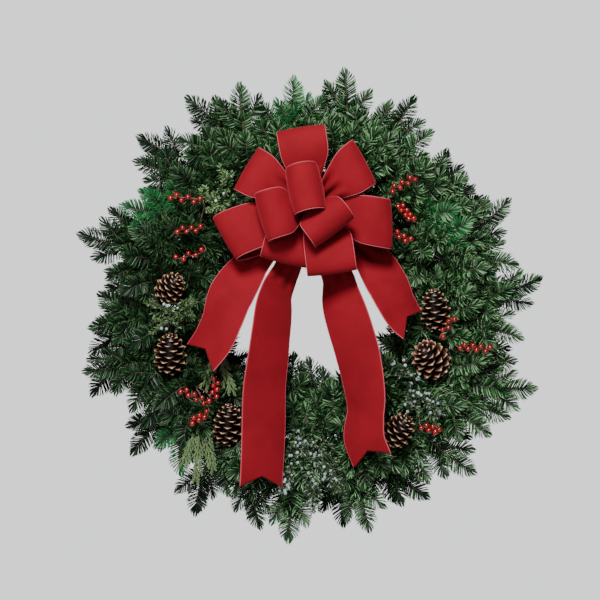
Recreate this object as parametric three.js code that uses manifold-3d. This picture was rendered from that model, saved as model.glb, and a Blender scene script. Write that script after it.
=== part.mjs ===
// Fresh evergreen wreath with pine cones, red berries and a ribbon bow.
// Millimetres, +X right, +Z up, +Y into the door; the viewer stands on -Y.
// The origin is the point of the hanging loop that rests on the door's hook.
import * as THREE from 'three';
import { mergeVertices } from 'three/addons/utils/BufferGeometryUtils.js';
import Module from 'manifold-3d';

const wasm = await Module();
wasm.setup();

// ---- Driving dimensions ----
const TURN = 2 * Math.PI;
const GAP = 0.3; // air left between two pieces that touch

const RING_RADIUS = 175; // wire frame ring, 14 inches across
const RING_WIRE = 2.2;
const RING_DEPTH = -14; // ring centre in front of the door
const RING_STEPS = 36;
const RING_SIDES = 5;

const BUNDLES = 18;
const BUNDLE_PITCH = 360 / BUNDLES;
const BUNCH_RADIUS = 5.5; // stems tied into one clamp
const BUNCH_LENGTH = 44;
const BUNCH_DEPTH = RING_DEPTH - RING_WIRE - GAP - BUNCH_RADIUS;
const CLAMP_WIRE = 1.1;

const HOOK_HEIGHT = 203; // hook point above the ring's centre
const HOOK_DEPTH = -8;
const HANGER_WIRE = 1;
const HANGER_RADIUS = 10;
const LINK_RADIUS = 3.8;

const DOOR_CLEARANCE = 3; // foliage stays this far in front of the door
const PICK_WIRE = 1;

const RIBBON_WIDTH = 63.5; // two and a half inches
const RIBBON_THICKNESS = 1.2;
const BOW_CENTRE = new THREE.Vector3(1, -98, 127);
const TIE_RADIUS = 6.4;

const BERRY_RADIUS = 3.8;

// ---- Colours ----
const FIR = { color: '#2d5a35', roughness: 0.7, metalness: 0 };
const JUNIPER = { color: '#6f8f5c', roughness: 0.7, metalness: 0 };
const CEDAR = { color: '#7c8a3f', roughness: 0.65, metalness: 0 };
const CONE_BROWN = { color: '#5b3a24', roughness: 0.8, metalness: 0 };
const BERRY_RED = { color: '#b3141b', roughness: 0.25, metalness: 0 };
const VELVET_RED = { color: '#a51f28', roughness: 0.9, metalness: 0 };
const STEEL = { color: '#5f6a5c', roughness: 0.45, metalness: 0.9 };

// ---- Small helpers ----

/** A point given by its angle round the ring, its distance from the ring's centre and its depth. */
function polar(degrees, distance, depth) {
  const angle = THREE.MathUtils.degToRad(degrees);
  return new THREE.Vector3(distance * Math.cos(angle), depth, distance * Math.sin(angle));
}

/** Repeatable numbers from 0 to 1, so every build is the same. */
function seededDraws(seed) {
  let state = seed;
  return () => {
    state = (state * 16807) % 2147483647;
    return state / 2147483647;
  };
}

/** A draw spread evenly over plus or minus reach. */
function jitter(draw, reach) {
  return (2 * draw() - 1) * reach;
}

/** The part of a direction that stands square to a run, at unit length. */
function squareTo(run, way) {
  return way.clone().addScaledVector(run, -run.dot(way)).normalize();
}

/** A line through corner points, walked corner by corner; one side of its section faces a set way. */
class CornerLine extends THREE.Curve {
  constructor(points, facing) {
    super();
    this.points = points;
    this.facing = facing;
  }

  getPoint(t, target = new THREE.Vector3()) {
    const place = t * (this.points.length - 1);
    const from = Math.min(Math.floor(place), this.points.length - 2);
    return target.lerpVectors(this.points[from], this.points[from + 1], place - from);
  }

  getUtoTmapping(u) {
    return u;
  }

  computeFrenetFrames(segments, closed) {
    if (!this.facing) return super.computeFrenetFrames(segments, closed);
    const last = this.points.length - 1;
    const tangents = this.points.map((_, i) => new THREE.Vector3()
      .subVectors(this.points[Math.min(i + 1, last)], this.points[Math.max(i - 1, 0)]).normalize());
    const normals = tangents.map((run) => squareTo(run, this.facing));
    const binormals = tangents.map((run, i) => new THREE.Vector3().crossVectors(run, normals[i]));
    return { tangents, normals, binormals };
  }
}

/** A wire or stem of even thickness through the given points. */
function tube(points, radius, sides, facing) {
  const section = new THREE.Shape();
  for (let side = 0; side < sides; side += 1) {
    const angle = TURN * (side + 0.5) / sides;
    const x = radius * Math.cos(angle);
    const y = radius * Math.sin(angle);
    if (side === 0) section.moveTo(x, y);
    else section.lineTo(x, y);
  }
  section.closePath();
  return new THREE.ExtrudeGeometry(section, {
    steps: points.length - 1,
    extrudePath: new CornerLine(points, facing),
    bevelEnabled: false,
  });
}

/** Points spaced evenly along a smooth curve through the given ones. */
function smoothPoints(points, steps) {
  return new THREE.CatmullRomCurve3(points, false, 'centripetal').getSpacedPoints(steps);
}

/** A geometry as a solid that can be joined to others. */
function toSolid(geometry) {
  const bare = geometry.clone();
  bare.deleteAttribute('normal');
  bare.deleteAttribute('uv');
  const merged = mergeVertices(bare, 1e-4);
  const vertProperties = Float32Array.from(merged.attributes.position.array);
  let triVerts = Uint32Array.from(merged.index.array);
  let solid = new wasm.Manifold(new wasm.Mesh({ numProp: 3, vertProperties, triVerts }));
  if (solid.volume() < 0) {
    triVerts = triVerts.map((_, i, all) => all[i - (i % 3) + 2 - (i % 3)]);
    solid = new wasm.Manifold(new wasm.Mesh({ numProp: 3, vertProperties, triVerts }));
  }
  return solid;
}

/** The largest body of a solid, so that no loose scrap is left. */
function mainBody(solid) {
  const bodies = solid.decompose();
  return bodies.reduce((best, body) => (body.volume() > best.volume() ? body : best));
}

/** Joins geometries into one body. */
function fuse(geometries) {
  const mesh = mainBody(wasm.Manifold.union(geometries.map(toSolid))).getMesh();
  const joined = new THREE.BufferGeometry();
  joined.setAttribute('position', new THREE.BufferAttribute(mesh.vertProperties, 3));
  joined.setIndex(new THREE.BufferAttribute(mesh.triVerts, 1));
  joined.computeVertexNormals();
  return joined;
}

/** One named piece of the wreath. */
function piece(name, geometry, finish) {
  const material = new THREE.MeshStandardMaterial({ ...finish, flatShading: true });
  const mesh = new THREE.Mesh(geometry, material);
  mesh.name = name;
  return mesh;
}

/** The least distance between two straight stretches, less their radii, which may taper. */
function clearance(one, other) {
  const d1 = new THREE.Vector3().subVectors(one.to, one.from);
  const d2 = new THREE.Vector3().subVectors(other.to, other.from);
  const r = new THREE.Vector3().subVectors(one.from, other.from);
  const a = d1.lengthSq();
  const e = d2.lengthSq();
  const c = d1.dot(r);
  const f = d2.dot(r);
  const b = d1.dot(d2);
  const clamp = (value) => THREE.MathUtils.clamp(value, 0, 1);
  let s = 0;
  let t = 0;
  if (a > 0 && e > 0) {
    const denominator = a * e - b * b;
    s = denominator > 1e-9 ? clamp((b * f - c * e) / denominator) : 0;
    t = clamp((b * s + f) / e);
    s = clamp((b * t - c) / a);
  } else if (a > 0) {
    s = clamp(-c / a);
  } else if (e > 0) {
    t = clamp(f / e);
  }
  const near = d1.multiplyScalar(s).add(one.from);
  const far = d2.multiplyScalar(t).add(other.from);
  const width = THREE.MathUtils.lerp(one.radius, one.endRadius, s);
  return near.distanceTo(far) - width - THREE.MathUtils.lerp(other.radius, other.endRadius, t);
}

/** The room that the pieces made so far take up, as round stretches with an owner each. */
class Room {
  constructor() {
    this.taken = [];
  }

  add(owner, from, to, radius, endRadius = radius) {
    this.taken.push({ owner, from, to, radius, endRadius });
  }

  addLine(owner, points, radius) {
    for (let i = 1; i < points.length; i += 1) this.add(owner, points[i - 1], points[i], radius);
  }

  isFree(owner, from, to, radius, endRadius = radius, spare = 0.4) {
    const wanted = { from, to, radius, endRadius };
    const reach = from.distanceTo(to);
    return this.taken.every((stretch) => {
      if (stretch.owner === owner) return true;
      const longest = stretch.from.distanceTo(stretch.to) + reach + stretch.radius + radius + 2;
      if (stretch.from.distanceTo(from) > longest) return true;
      return clearance(wanted, stretch) > spare;
    });
  }

  isLineFree(owner, points, radius) {
    return points.every((point, i) => i === 0 || this.isFree(owner, points[i - 1], point, radius));
  }
}

const room = new Room();

// ---- Wire frame ----

/** Path of one clamp: open at the front, where its two prongs are bent over the stems. */
function clampLine(degrees) {
  const half = BUNCH_RADIUS + GAP + CLAMP_WIRE;
  const prong = 2.4;
  const front = BUNCH_DEPTH - half;
  const shoulder = front + 0.6;
  const back = RING_DEPTH - 0.5;
  const left = [[-prong, front], [-half, shoulder], [-half, back]];
  const right = [[half, back], [half, shoulder], [prong, front]];
  return [...left, ...right].map(([across, depth]) => polar(degrees, RING_RADIUS + across, depth));
}

function wireFrame() {
  const ring = new THREE.TorusGeometry(RING_RADIUS, RING_WIRE, RING_SIDES, RING_STEPS);
  ring.rotateZ(Math.PI / RING_STEPS);
  ring.rotateX(Math.PI / 2);
  ring.translate(0, RING_DEPTH, 0);
  const parts = [ring];
  for (let i = 0; i < BUNDLES; i += 1) {
    const line = clampLine(i * BUNDLE_PITCH);
    parts.push(tube(line, CLAMP_WIRE, 3));
    room.addLine('wire_frame', line, CLAMP_WIRE);
  }
  for (let i = 0; i < RING_STEPS; i += 1) {
    const from = polar(i * 360 / RING_STEPS, RING_RADIUS, RING_DEPTH);
    const to = polar((i + 1) * 360 / RING_STEPS, RING_RADIUS, RING_DEPTH);
    room.add('wire_frame', from, to, RING_WIRE);
  }
  return piece('wire_frame', fuse(parts), STEEL);
}

/** A link round the top of the ring, a short neck and the loop that the door's hook goes through. */
function hangingLoop() {
  const loopCentre = HOOK_HEIGHT - HANGER_RADIUS + HANGER_WIRE;
  const loop = new THREE.TorusGeometry(HANGER_RADIUS, HANGER_WIRE, 4, 14);
  loop.rotateX(Math.PI / 2);
  loop.translate(0, HOOK_DEPTH, loopCentre);
  const link = new THREE.TorusGeometry(LINK_RADIUS, HANGER_WIRE, 4, 10);
  link.rotateY(Math.PI / 2);
  link.translate(0, RING_DEPTH, RING_RADIUS);
  const neckLow = new THREE.Vector3(0, RING_DEPTH, RING_RADIUS + LINK_RADIUS - 0.4);
  const neckHigh = new THREE.Vector3(0, HOOK_DEPTH, loopCentre - HANGER_RADIUS + 0.6);
  const neck = tube([neckLow, neckHigh], 1.6 * HANGER_WIRE, 4);
  const low = new THREE.Vector3(0, RING_DEPTH, RING_RADIUS);
  room.add('hanging_loop', low, neckHigh, LINK_RADIUS + HANGER_WIRE);
  const loopMiddle = new THREE.Vector3(0, HOOK_DEPTH, loopCentre);
  room.add('hanging_loop', loopMiddle, loopMiddle, HANGER_RADIUS + 2 * HANGER_WIRE);
  return piece('hanging_loop', fuse([loop, link, neck]), STEEL);
}

/** A pick's wire: smooth from its start, in over the ring's inner side, and hooked behind the ring. */
function hookedLine(points, degrees, shift, steps) {
  const angle = degrees + THREE.MathUtils.radToDeg(shift / RING_RADIUS);
  return [
    ...smoothPoints([...points, polar(angle, RING_RADIUS - 6, RING_DEPTH - 24)], steps),
    polar(angle, RING_RADIUS - 5.3, RING_DEPTH + 1),
    polar(angle, RING_RADIUS, RING_DEPTH + 5.5),
  ];
}

// ---- Ribbon ----

/** A sheet of even thickness over a grid; both faces are split into triangles alike. */
function sheetSolid(acrossSteps, alongSteps, thickness, pointAt, normalAt) {
  const grid = new THREE.PlaneGeometry(1, 1, acrossSteps, alongSteps);
  const uv = grid.attributes.uv;
  const count = uv.count;
  const positions = new Float32Array(count * 6);
  for (let i = 0; i < count; i += 1) {
    const middle = pointAt(uv.getX(i), uv.getY(i));
    const lift = normalAt(uv.getX(i), uv.getY(i)).multiplyScalar(thickness / 2);
    middle.clone().add(lift).toArray(positions, i * 3);
    middle.sub(lift).toArray(positions, (count + i) * 3);
  }
  const faces = Array.from(grid.index.array);
  const index = [...faces];
  for (let i = 0; i < faces.length; i += 3) {
    index.push(count + faces[i], count + faces[i + 2], count + faces[i + 1]);
  }
  for (const [from, to] of borderEdges(acrossSteps, alongSteps)) {
    index.push(from, count + from, to, to, count + from, count + to);
  }
  const sheet = new THREE.BufferGeometry();
  sheet.setAttribute('position', new THREE.BufferAttribute(positions, 3));
  sheet.setIndex(index);
  return sheet;
}

/** The edges round a grid of rows and columns, in the turning order of its faces. */
function borderEdges(acrossSteps, alongSteps) {
  const at = (column, row) => row * (acrossSteps + 1) + column;
  const edges = [];
  for (let row = 0; row < alongSteps; row += 1) {
    edges.push([at(0, row), at(0, row + 1)]);
    edges.push([at(acrossSteps, row + 1), at(acrossSteps, row)]);
  }
  for (let column = 0; column < acrossSteps; column += 1) {
    edges.push([at(column + 1, 0), at(column, 0)]);
    edges.push([at(column, alongSteps), at(column + 1, alongSteps)]);
  }
  return edges;
}

/** Keeps foliage off a ribbon: round spots over its whole surface. */
function reserveSheet(owner, pointAt, length) {
  const spotStep = 8;
  const rows = Math.ceil(length / spotStep);
  const columns = Math.ceil(RIBBON_WIDTH / spotStep);
  for (let row = 0; row <= rows; row += 1) {
    for (let column = 0; column <= columns; column += 1) {
      const edges = [0, 1].map((side) => pointAt(side, row / rows));
      const spot = edges[0].lerp(edges[1], column / columns);
      room.add(owner, spot, spot, 6);
    }
  }
}

// Loops of the bow: [name, direction from the knot, way the ribbon's width runs, length, half depth,
// how fast its two edges spread from the root]; the two bottom loops lie side by side
const ROSETTE_LOOPS = [
  ['top', [-16, -22, 103], [0.98, 0, 0.18], 100, 20, [0.44, 0.54]],
  ['upper_left', [-83, -20, 49], [0.49, 0, 0.87], 92, 20, [0.4, 0.42]],
  ['upper_right', [72, -20, 57], [0.49, 0, -0.87], 88, 20, [0.48, 0.42]],
  ['left', [-116, -16, -39], [0.49, 0, -0.87], 114, 16, [0.4, 0.52]],
  ['right', [108, -18, -19], [0, 0, -1], 102, 18, [0.41, 0.54]],
  ['bottom_left', [-3, -30, -75], [0.98, 0, -0.2], 78, 16, [1.1, 0]],
  ['bottom_right', [3, -30, -88], [0.98, 0, 0.17], 90, 16, [0, 1.1]],
];
const CENTRE_LOOPS = [
  ['centre_top', [-5, -62, 14], [-0.2, 0, 0.98], 63, 18, [0.43, 0.45]],
  ['centre_left', [-48, -46, -12], [0.35, 0, -0.94], 66, 17, [0.45, 0.45]],
  ['centre_right', [18, -56, -19], [0.81, 0, 0.58], 61, 17, [0.45, 0.45]],
];
const CENTRE_FORWARD = 18; // how far the three front loops start before the rosette
const CENTRE_START = 10; // distance of a front loop's root from the knot's axis
const ROSETTE_START = 7.2;
const ROOT_HALF_WIDTH = 2.2;
const BOTTOM_LOOP_OFFSET = 3; // the bottom loops' roots stand this far either side of the middle
const LOOP_STEPS = 12;

/** A loop of ribbon: a teardrop seen from its edge, gathered at its root and full width at its fold. */
function bowLoop([name, towards, widthWay, length, halfDepth, spread], root) {
  const out = new THREE.Vector3(...towards).normalize();
  const across = squareTo(out, new THREE.Vector3(...widthWay));
  const deep = new THREE.Vector3().crossVectors(out, across);
  const rootGap = 0.9;
  const profile = (round) => {
    const fall = Math.sin(round / 2);
    const along = length * (1 - Math.cos(round)) / 2;
    return [along, rootGap * Math.cos(round / 2) + 1.3 * halfDepth * Math.sin(round) * fall];
  };
  const pointAt = (u, v) => {
    const [along, depth] = profile(TURN * v);
    const opening = spread[u > 0.5 ? 1 : 0];
    const share = opening / (spread[0] + spread[1]);
    const reach = Math.min(RIBBON_WIDTH * share, ROOT_HALF_WIDTH + opening * along);
    return root.clone()
      .addScaledVector(out, along)
      .addScaledVector(deep, depth)
      .addScaledVector(across, u > 0.5 ? reach : -reach);
  };
  const normalAt = (u, v) => {
    const step = 0.01;
    const [a1, d1] = profile(TURN * (v - step));
    const [a2, d2] = profile(TURN * (v + step));
    const run = new THREE.Vector3().addScaledVector(out, a2 - a1).addScaledVector(deep, d2 - d1);
    return new THREE.Vector3().crossVectors(across, run).normalize();
  };
  const node = `bow_loop_${name}`;
  reserveSheet(node, pointAt, 2 * length);
  return piece(node, sheetSolid(1, LOOP_STEPS, RIBBON_THICKNESS, pointAt, normalAt), VELVET_RED);
}

function bowLoops() {
  const loops = [];
  for (const loop of ROSETTE_LOOPS) {
    const start = new THREE.Vector3(loop[1][0], 0, loop[1][2]).setLength(ROSETTE_START);
    if (loop[0].startsWith('bottom')) start.x = BOTTOM_LOOP_OFFSET * Math.sign(start.x);
    loops.push(bowLoop(loop, start.add(BOW_CENTRE)));
  }
  for (const loop of CENTRE_LOOPS) {
    const start = new THREE.Vector3(loop[1][0], 0, loop[1][2]).setLength(CENTRE_START);
    start.y = -CENTRE_FORWARD;
    loops.push(bowLoop(loop, start.add(BOW_CENTRE)));
  }
  return loops;
}

// Tails: the ribbon's middle line from the knot down, [x, depth, z, turn of its face in degrees]
const TAILS = [
  [[-6, -87, 121, 0], [-36, -84, 92, 0], [-76, -92, 54, 24], [-103, -102, 13, 18],
    [-115, -106, -22, 32], [-126, -104, -46, 34], [-144, -100, -70, 40]],
  [[-2, -87, 118, 0], [-14, -84, 82, 0], [-30, -90, 40, -36], [-42, -102, 11, -42], [-49, -110, -36, -38],
    [-53, -112, -74, -33], [-57, -110, -109, -31], [-59, -106, -165, -30], [-62, -110, -239, -30]],
  [[4, -87, 118, 0], [16, -84, 82, 0], [36, -90, 37, 32], [41, -102, 9, 28], [52, -110, -29, 27],
    [63, -112, -69, 27], [72, -108, -118, 36], [73, -104, -143, 44], [71, -106, -175, 37],
    [81, -110, -205, 37]],
  [[7, -87, 122, 0], [38, -80, 96, 0], [83, -84, 60, -16], [103, -99, 28, -27],
    [115, -106, 3, -38], [125, -104, -13, -40], [137, -100, -27, -48]],
];
const TAIL_TAPER = 0.235;
const NOTCH_DEPTH = 14;

/** A hanging tail: gathered at the knot, turned a little along its way, with a notch cut in its end. */
function bowTail(index, stations) {
  const spots = stations.map(([x, y, z]) => new THREE.Vector3(x, y, z));
  const line = new THREE.CatmullRomCurve3(spots, false, 'centripetal');
  const turns = stations.map((station) => THREE.MathUtils.degToRad(station[3]));
  const length = line.getLength();
  const frameAt = (v) => {
    const place = v * (stations.length - 1);
    const from = Math.min(Math.floor(place), stations.length - 2);
    const turn = THREE.MathUtils.lerp(turns[from], turns[from + 1], place - from);
    const run = line.getTangent(v);
    const flat = new THREE.Vector3(-run.z, 0, run.x).normalize();
    const across = flat.applyAxisAngle(run, turn);
    return { middle: line.getPoint(v), run, across };
  };
  const pointAt = (u, v) => {
    const { middle, run, across } = frameAt(1 - v);
    const fromKnot = middle.distanceTo(spots[0]);
    const half = Math.min(RIBBON_WIDTH / 2, ROOT_HALF_WIDTH + TAIL_TAPER * fromKnot);
    const side = 2 * u - 1;
    const notch = v === 0 ? NOTCH_DEPTH * (1 - Math.abs(side)) : 0;
    return middle.addScaledVector(across, half * side).addScaledVector(run, -notch);
  };
  const normalAt = (u, v) => {
    const { run, across } = frameAt(1 - v);
    return new THREE.Vector3().crossVectors(run, across).normalize();
  };
  const node = `bow_tail_${index + 1}`;
  reserveSheet(node, pointAt, length);
  return piece(node, sheetSolid(2, stations.length - 1, RIBBON_THICKNESS, pointAt, normalAt), VELVET_RED);
}

/** The bound middle of the bow, with the wire that holds it to the top of the ring. */
function bowTie() {
  const front = BOW_CENTRE.y - CENTRE_FORWARD + 5;
  const back = BOW_CENTRE.y + 16;
  const core = new THREE.CylinderGeometry(TIE_RADIUS, TIE_RADIUS, back - front, 10);
  core.translate(BOW_CENTRE.x, (front + back) / 2, BOW_CENTRE.z);
  const wireStart = new THREE.Vector3(BOW_CENTRE.x, back - 3, BOW_CENTRE.z);
  const turns = [wireStart, new THREE.Vector3(4, back + 10, 134), new THREE.Vector3(5, -42, 154)];
  const line = hookedLine(turns, 90, -5, 9);
  room.add('bow_tie', new THREE.Vector3(BOW_CENTRE.x, front, BOW_CENTRE.z), wireStart, TIE_RADIUS);
  room.addLine('bow_tie', line, PICK_WIRE);
  return piece('bow_tie', fuse([core, tube(line, PICK_WIRE, 5)]), VELVET_RED);
}

// ---- Pine cones ----

// [centre x, depth, centre z, way the tip points, length, greatest radius, ring angle of its wire, shift]
const PINE_CONES = [
  [-183, -74, 23, [0.55, -0.55, 0.6], 42, 19, 170, 0],
  [-184, -72, -64, [0.05, -0.35, 1], 54, 22, 190, 5],
  [167, -72, -5, [-0.1, -0.3, 1], 55, 20.5, 10, -2],
  [160, -74, -72, [-0.5, -0.7, 0.6], 52, 25, 330, 5],
  [120, -72, -166, [0.45, -0.5, 0.65], 48, 20.5, 310, -5],
  [-107, -68, -158, [0.1, -0.3, 1], 56, 20.5, 230, 5],
];
const SCALES_ROUND = 7;
const SCALE_ROWS = 8;
const SCALE_CORE = 0.74; // how deep the cone is between its scales
const SCALE_LIFT = 0.07; // how far a scale's point stands above its middle, in cone lengths

/** Radius of a cone's outline at a height from 0, its base, to 1, its tip. */
function coneOutline(height) {
  return Math.sin(Math.PI * height ** 0.72) ** 0.75;
}

/** A cone standing on its base: rows of scales in a spiral net, each drawn out of the surface to a point. */
function coneBody(length, radius) {
  const positions = [];
  const index = [];
  const vertex = (angle, distance, height) => {
    positions.push(distance * Math.cos(angle), distance * Math.sin(angle), height);
    return positions.length / 3 - 1;
  };
  const rowHeight = (row) => (row + 0.6) / (SCALE_ROWS + 0.6);
  const angleAt = (row, place) => TURN * (place + (row % 2) / 2) / SCALES_ROUND;
  const rows = [];
  for (let row = 0; row < SCALE_ROWS; row += 1) {
    const distance = SCALE_CORE * radius * coneOutline(rowHeight(row));
    rows.push([]);
    for (let place = 0; place < SCALES_ROUND; place += 1) {
      rows[row].push(vertex(angleAt(row, place), distance, length * rowHeight(row)));
    }
  }
  const base = vertex(0, 0, 0);
  const tip = vertex(0, 0, length);
  const at = (row, place) => rows[row][(place + SCALES_ROUND) % SCALES_ROUND];
  for (let row = 0; row < SCALE_ROWS; row += 1) {
    for (let place = 0; place < SCALES_ROUND; place += 1) {
      const left = at(row, place);
      const right = at(row, place + 1);
      const beside = place + (row % 2);
      const above = row === SCALE_ROWS - 1 ? tip : at(row + 1, beside);
      const below = row === 0 ? base : at(row - 1, beside);
      if (row === 0 || row === SCALE_ROWS - 1) {
        index.push(left, right, above, right, left, below);
      } else {
        const reach = radius * coneOutline(rowHeight(row));
        const point = vertex(angleAt(row, place + 0.5), reach, length * (rowHeight(row) + SCALE_LIFT));
        index.push(left, below, point, below, right, point, right, above, point, above, left, point);
      }
    }
  }
  const cone = new THREE.BufferGeometry();
  cone.setAttribute('position', new THREE.BufferAttribute(new Float32Array(positions), 3));
  cone.setIndex(index);
  return cone;
}

function pineCone(index, [x, y, z, tipWay, length, radius, ringAngle, shift]) {
  const way = new THREE.Vector3(...tipWay).normalize();
  const centre = new THREE.Vector3(x, y, z);
  const base = centre.clone().addScaledVector(way, -length / 2);
  const body = coneBody(length, radius);
  body.applyQuaternion(new THREE.Quaternion().setFromUnitVectors(new THREE.Vector3(0, 0, 1), way));
  body.translate(...base.toArray());
  const aside = new THREE.Vector3(way.z, 0, -way.x).setLength(4);
  const inside = base.clone().addScaledVector(way, 0.3 * length).add(aside);
  const below = base.clone().addScaledVector(way, -5).add(aside);
  const middle = below.clone().lerp(polar(ringAngle, RING_RADIUS, RING_DEPTH), 0.5);
  const line = [inside, ...hookedLine([below, middle], ringAngle, shift, 4)];
  const node = `pine_cone_${index + 1}`;
  const tip = centre.clone().addScaledVector(way, 0.32 * length);
  const low = centre.clone().addScaledVector(way, -0.22 * length);
  room.add(node, low, tip, radius + 1.5, 0.65 * radius);
  room.addLine(node, line, PICK_WIRE);
  return piece(node, fuse([body, tube(line, PICK_WIRE, 4)]), CONE_BROWN);
}

// ---- Red berries ----

// Each pick: [ring angle of its wire, shift, fork x, fork z, its twigs]; a twig: [x, z, x, z, berries]
const BERRY_PICKS = [
  [150, 0, -146, 92, [[-140, 135, -186, 142, 4], [-140, 99, -176, 97, 2], [-137, 70, -178, 58, 4]]],
  [50, 0, 109, 128, [[107, 149, 141, 167, 5], [118, 132, 137, 109, 4], [108, 96, 135, 82, 4]]],
  [210, 5, -152, -108,
    [[-170, -112, -130, -132, 5], [-122, -96, -125, -124, 3], [-157, -156, -132, -143, 3]]],
  [350, -6, 190, -46, [[191, -16, 172, -44, 3], [196, -56, 240, -60, 5]]],
  [310, 5, 148, -138, [[147, -160, 173, -168, 4]]],
];
const FORK_DEPTH = -76;
const BERRY_DEPTH = -92;
const TWIG_WIRE = 1; // half the thickness of a berry twig
const BERRY_SINK = 0.55; // how far a berry's corner goes into its twig

/** A berry that stands off a twig, with the corner that faces the twig sunk into it. */
function berry(spot, standing, radius) {
  const round = new THREE.IcosahedronGeometry(radius, 0);
  const corner = new THREE.Vector3().fromBufferAttribute(round.attributes.position, 0).normalize();
  round.applyQuaternion(new THREE.Quaternion().setFromUnitVectors(corner, standing.clone().negate()));
  return round.translate(...spot.toArray());
}

/** A wire pick: thin twigs from one stem, with berries standing off either side of each twig. */
function berryPick(index, [ringAngle, shift, forkX, forkZ, twigs]) {
  const node = `berry_pick_${index + 1}`;
  const fork = new THREE.Vector3(forkX, FORK_DEPTH, forkZ);
  const stem = hookedLine([fork], ringAngle, shift, 2);
  const parts = [tube(stem, 1.4 * TWIG_WIRE, 4)];
  room.addLine(node, stem, 1.4 * TWIG_WIRE);
  for (const [startX, startZ, endX, endZ, berries] of twigs) {
    const start = new THREE.Vector3(startX, BERRY_DEPTH + 3, startZ);
    const end = new THREE.Vector3(endX, BERRY_DEPTH - 2, endZ);
    const run = end.clone().sub(start);
    const way = run.clone().normalize();
    const aside = new THREE.Vector3(-way.z, 0, way.x);
    const line = [fork, start.clone().addScaledVector(way, -4), end];
    parts.push(tube(line, Math.SQRT2 * TWIG_WIRE, 4, aside));
    room.addLine(node, line, 1.5 * TWIG_WIRE);
    for (let i = 0; i < berries; i += 1) {
      const standing = aside.clone().multiplyScalar(i % 2 ? 1 : -1);
      const spot = start.clone().addScaledVector(run, (i + 0.5) / berries);
      spot.addScaledVector(standing, BERRY_RADIUS + TWIG_WIRE - BERRY_SINK);
      parts.push(berry(spot, standing, BERRY_RADIUS));
      room.add(node, spot, spot, BERRY_RADIUS);
    }
  }
  return piece(node, fuse(parts), BERRY_RED);
}

// ---- Needled twigs ----

const FIR_HABIT = {
  radius: 1.9,
  tipRadius: 1.1,
  needleWidth: 2.1,
  needleLength: 22,
  spread: 52,
  spacing: 19,
  whorlTurn: 0.7,
  bare: 38,
};
const JUNIPER_HABIT = {
  radius: 1.5,
  tipRadius: 1,
  needleWidth: 2,
  needleLength: 12,
  spread: 54,
  spacing: 14,
  whorlTurn: 0.7,
  bare: 16,
};
const END_NEEDLE = 0.6; // the needle at a twig's tip, as a share of the others

/** Places along a twig where its section is set out; a needle is drawn from the stretch after a whorl. */
function twigStations(length, habit) {
  const whorls = Math.max(1, Math.round((length - habit.bare) / habit.spacing));
  const step = (length - habit.bare) / whorls;
  const half = habit.needleWidth / 2;
  const stations = [{ place: 0, turn: 0 }];
  if (habit.bare > habit.spacing) stations.push({ place: habit.bare / 2, turn: habit.whorlTurn / 2 });
  for (let i = 0; i < whorls; i += 1) {
    const place = habit.bare + step * (i + 0.25);
    const turn = habit.whorlTurn * (i + 1);
    stations.push({ place: place - half, turn, isWhorl: true });
    stations.push({ place: place + half, turn });
  }
  stations.push({ place: length, turn: habit.whorlTurn * (whorls + 0.5) });
  return stations;
}

/** The three corners of a twig at a share of its length, with the way each stands off the middle. */
function twigSection(curve, u, turn, habit) {
  const centre = curve.getPointAt(u);
  const run = curve.getTangentAt(u);
  const side = new THREE.Vector3().crossVectors(run, new THREE.Vector3(0, 1, 0)).normalize();
  const radius = THREE.MathUtils.lerp(habit.radius, habit.tipRadius, u);
  const spokes = [0, 1, 2].map((k) => side.clone().applyAxisAngle(run, turn + k * TURN / 3));
  const corners = spokes.map((spoke) => centre.clone().addScaledVector(spoke, radius));
  return { centre, run, spokes, corners };
}

/** Tip of the needle on one side of a whorl, bent forward until its room is free, or null. */
function needleTip(owner, section, next, k, habit) {
  const root = section.centre.clone().lerp(next.centre, 0.5);
  const outward = section.spokes[k].clone().add(section.spokes[(k + 1) % 3]).normalize();
  const width = 0.75 * habit.needleWidth;
  const point = 0.1;
  for (const bend of [0, 12, 24]) {
    const angle = THREE.MathUtils.degToRad(habit.spread - bend);
    const way = section.run.clone().multiplyScalar(Math.cos(angle)).addScaledVector(outward, Math.sin(angle));
    const tip = root.clone().addScaledVector(way, habit.needleLength);
    if (tip.y < -DOOR_CLEARANCE && room.isFree(owner, root, tip, width, point)) {
      room.add(owner, root, tip, width, point);
      return tip;
    }
  }
  return null;
}

/** A slim three-sided twig along a curve; at each whorl a needle is drawn out of each of its sides. */
function needledTwig(owner, curve, habit) {
  const length = curve.getLength();
  const stations = twigStations(length, habit);
  const sections = stations.map(({ place, turn }) => twigSection(curve, place / length, turn, habit));
  const positions = [];
  const index = [];
  const add = (point) => {
    positions.push(...point.toArray());
    return positions.length / 3 - 1;
  };
  const cap = (ids, tip) => {
    for (let k = 0; k < ids.length; k += 1) index.push(ids[k], ids[(k + 1) % ids.length], tip);
  };
  const rings = sections.map(({ corners }) => corners.map(add));
  index.push(rings[0][0], rings[0][2], rings[0][1]);
  for (let i = 1; i < rings.length; i += 1) {
    for (let k = 0; k < 3; k += 1) {
      const other = (k + 1) % 3;
      const side = [rings[i - 1][k], rings[i - 1][other], rings[i][other], rings[i][k]];
      const tip = stations[i - 1].isWhorl ? needleTip(owner, sections[i - 1], sections[i], k, habit) : null;
      if (tip) cap(side, add(tip));
      else index.push(side[0], side[1], side[2], side[0], side[2], side[3]);
    }
  }
  const last = sections[sections.length - 1];
  const end = last.centre.clone().addScaledVector(last.run, END_NEEDLE * habit.needleLength);
  cap(rings[rings.length - 1], add(end));
  const twig = new THREE.BufferGeometry();
  twig.setAttribute('position', new THREE.BufferAttribute(new Float32Array(positions), 3));
  twig.setIndex(index);
  return twig;
}

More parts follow.
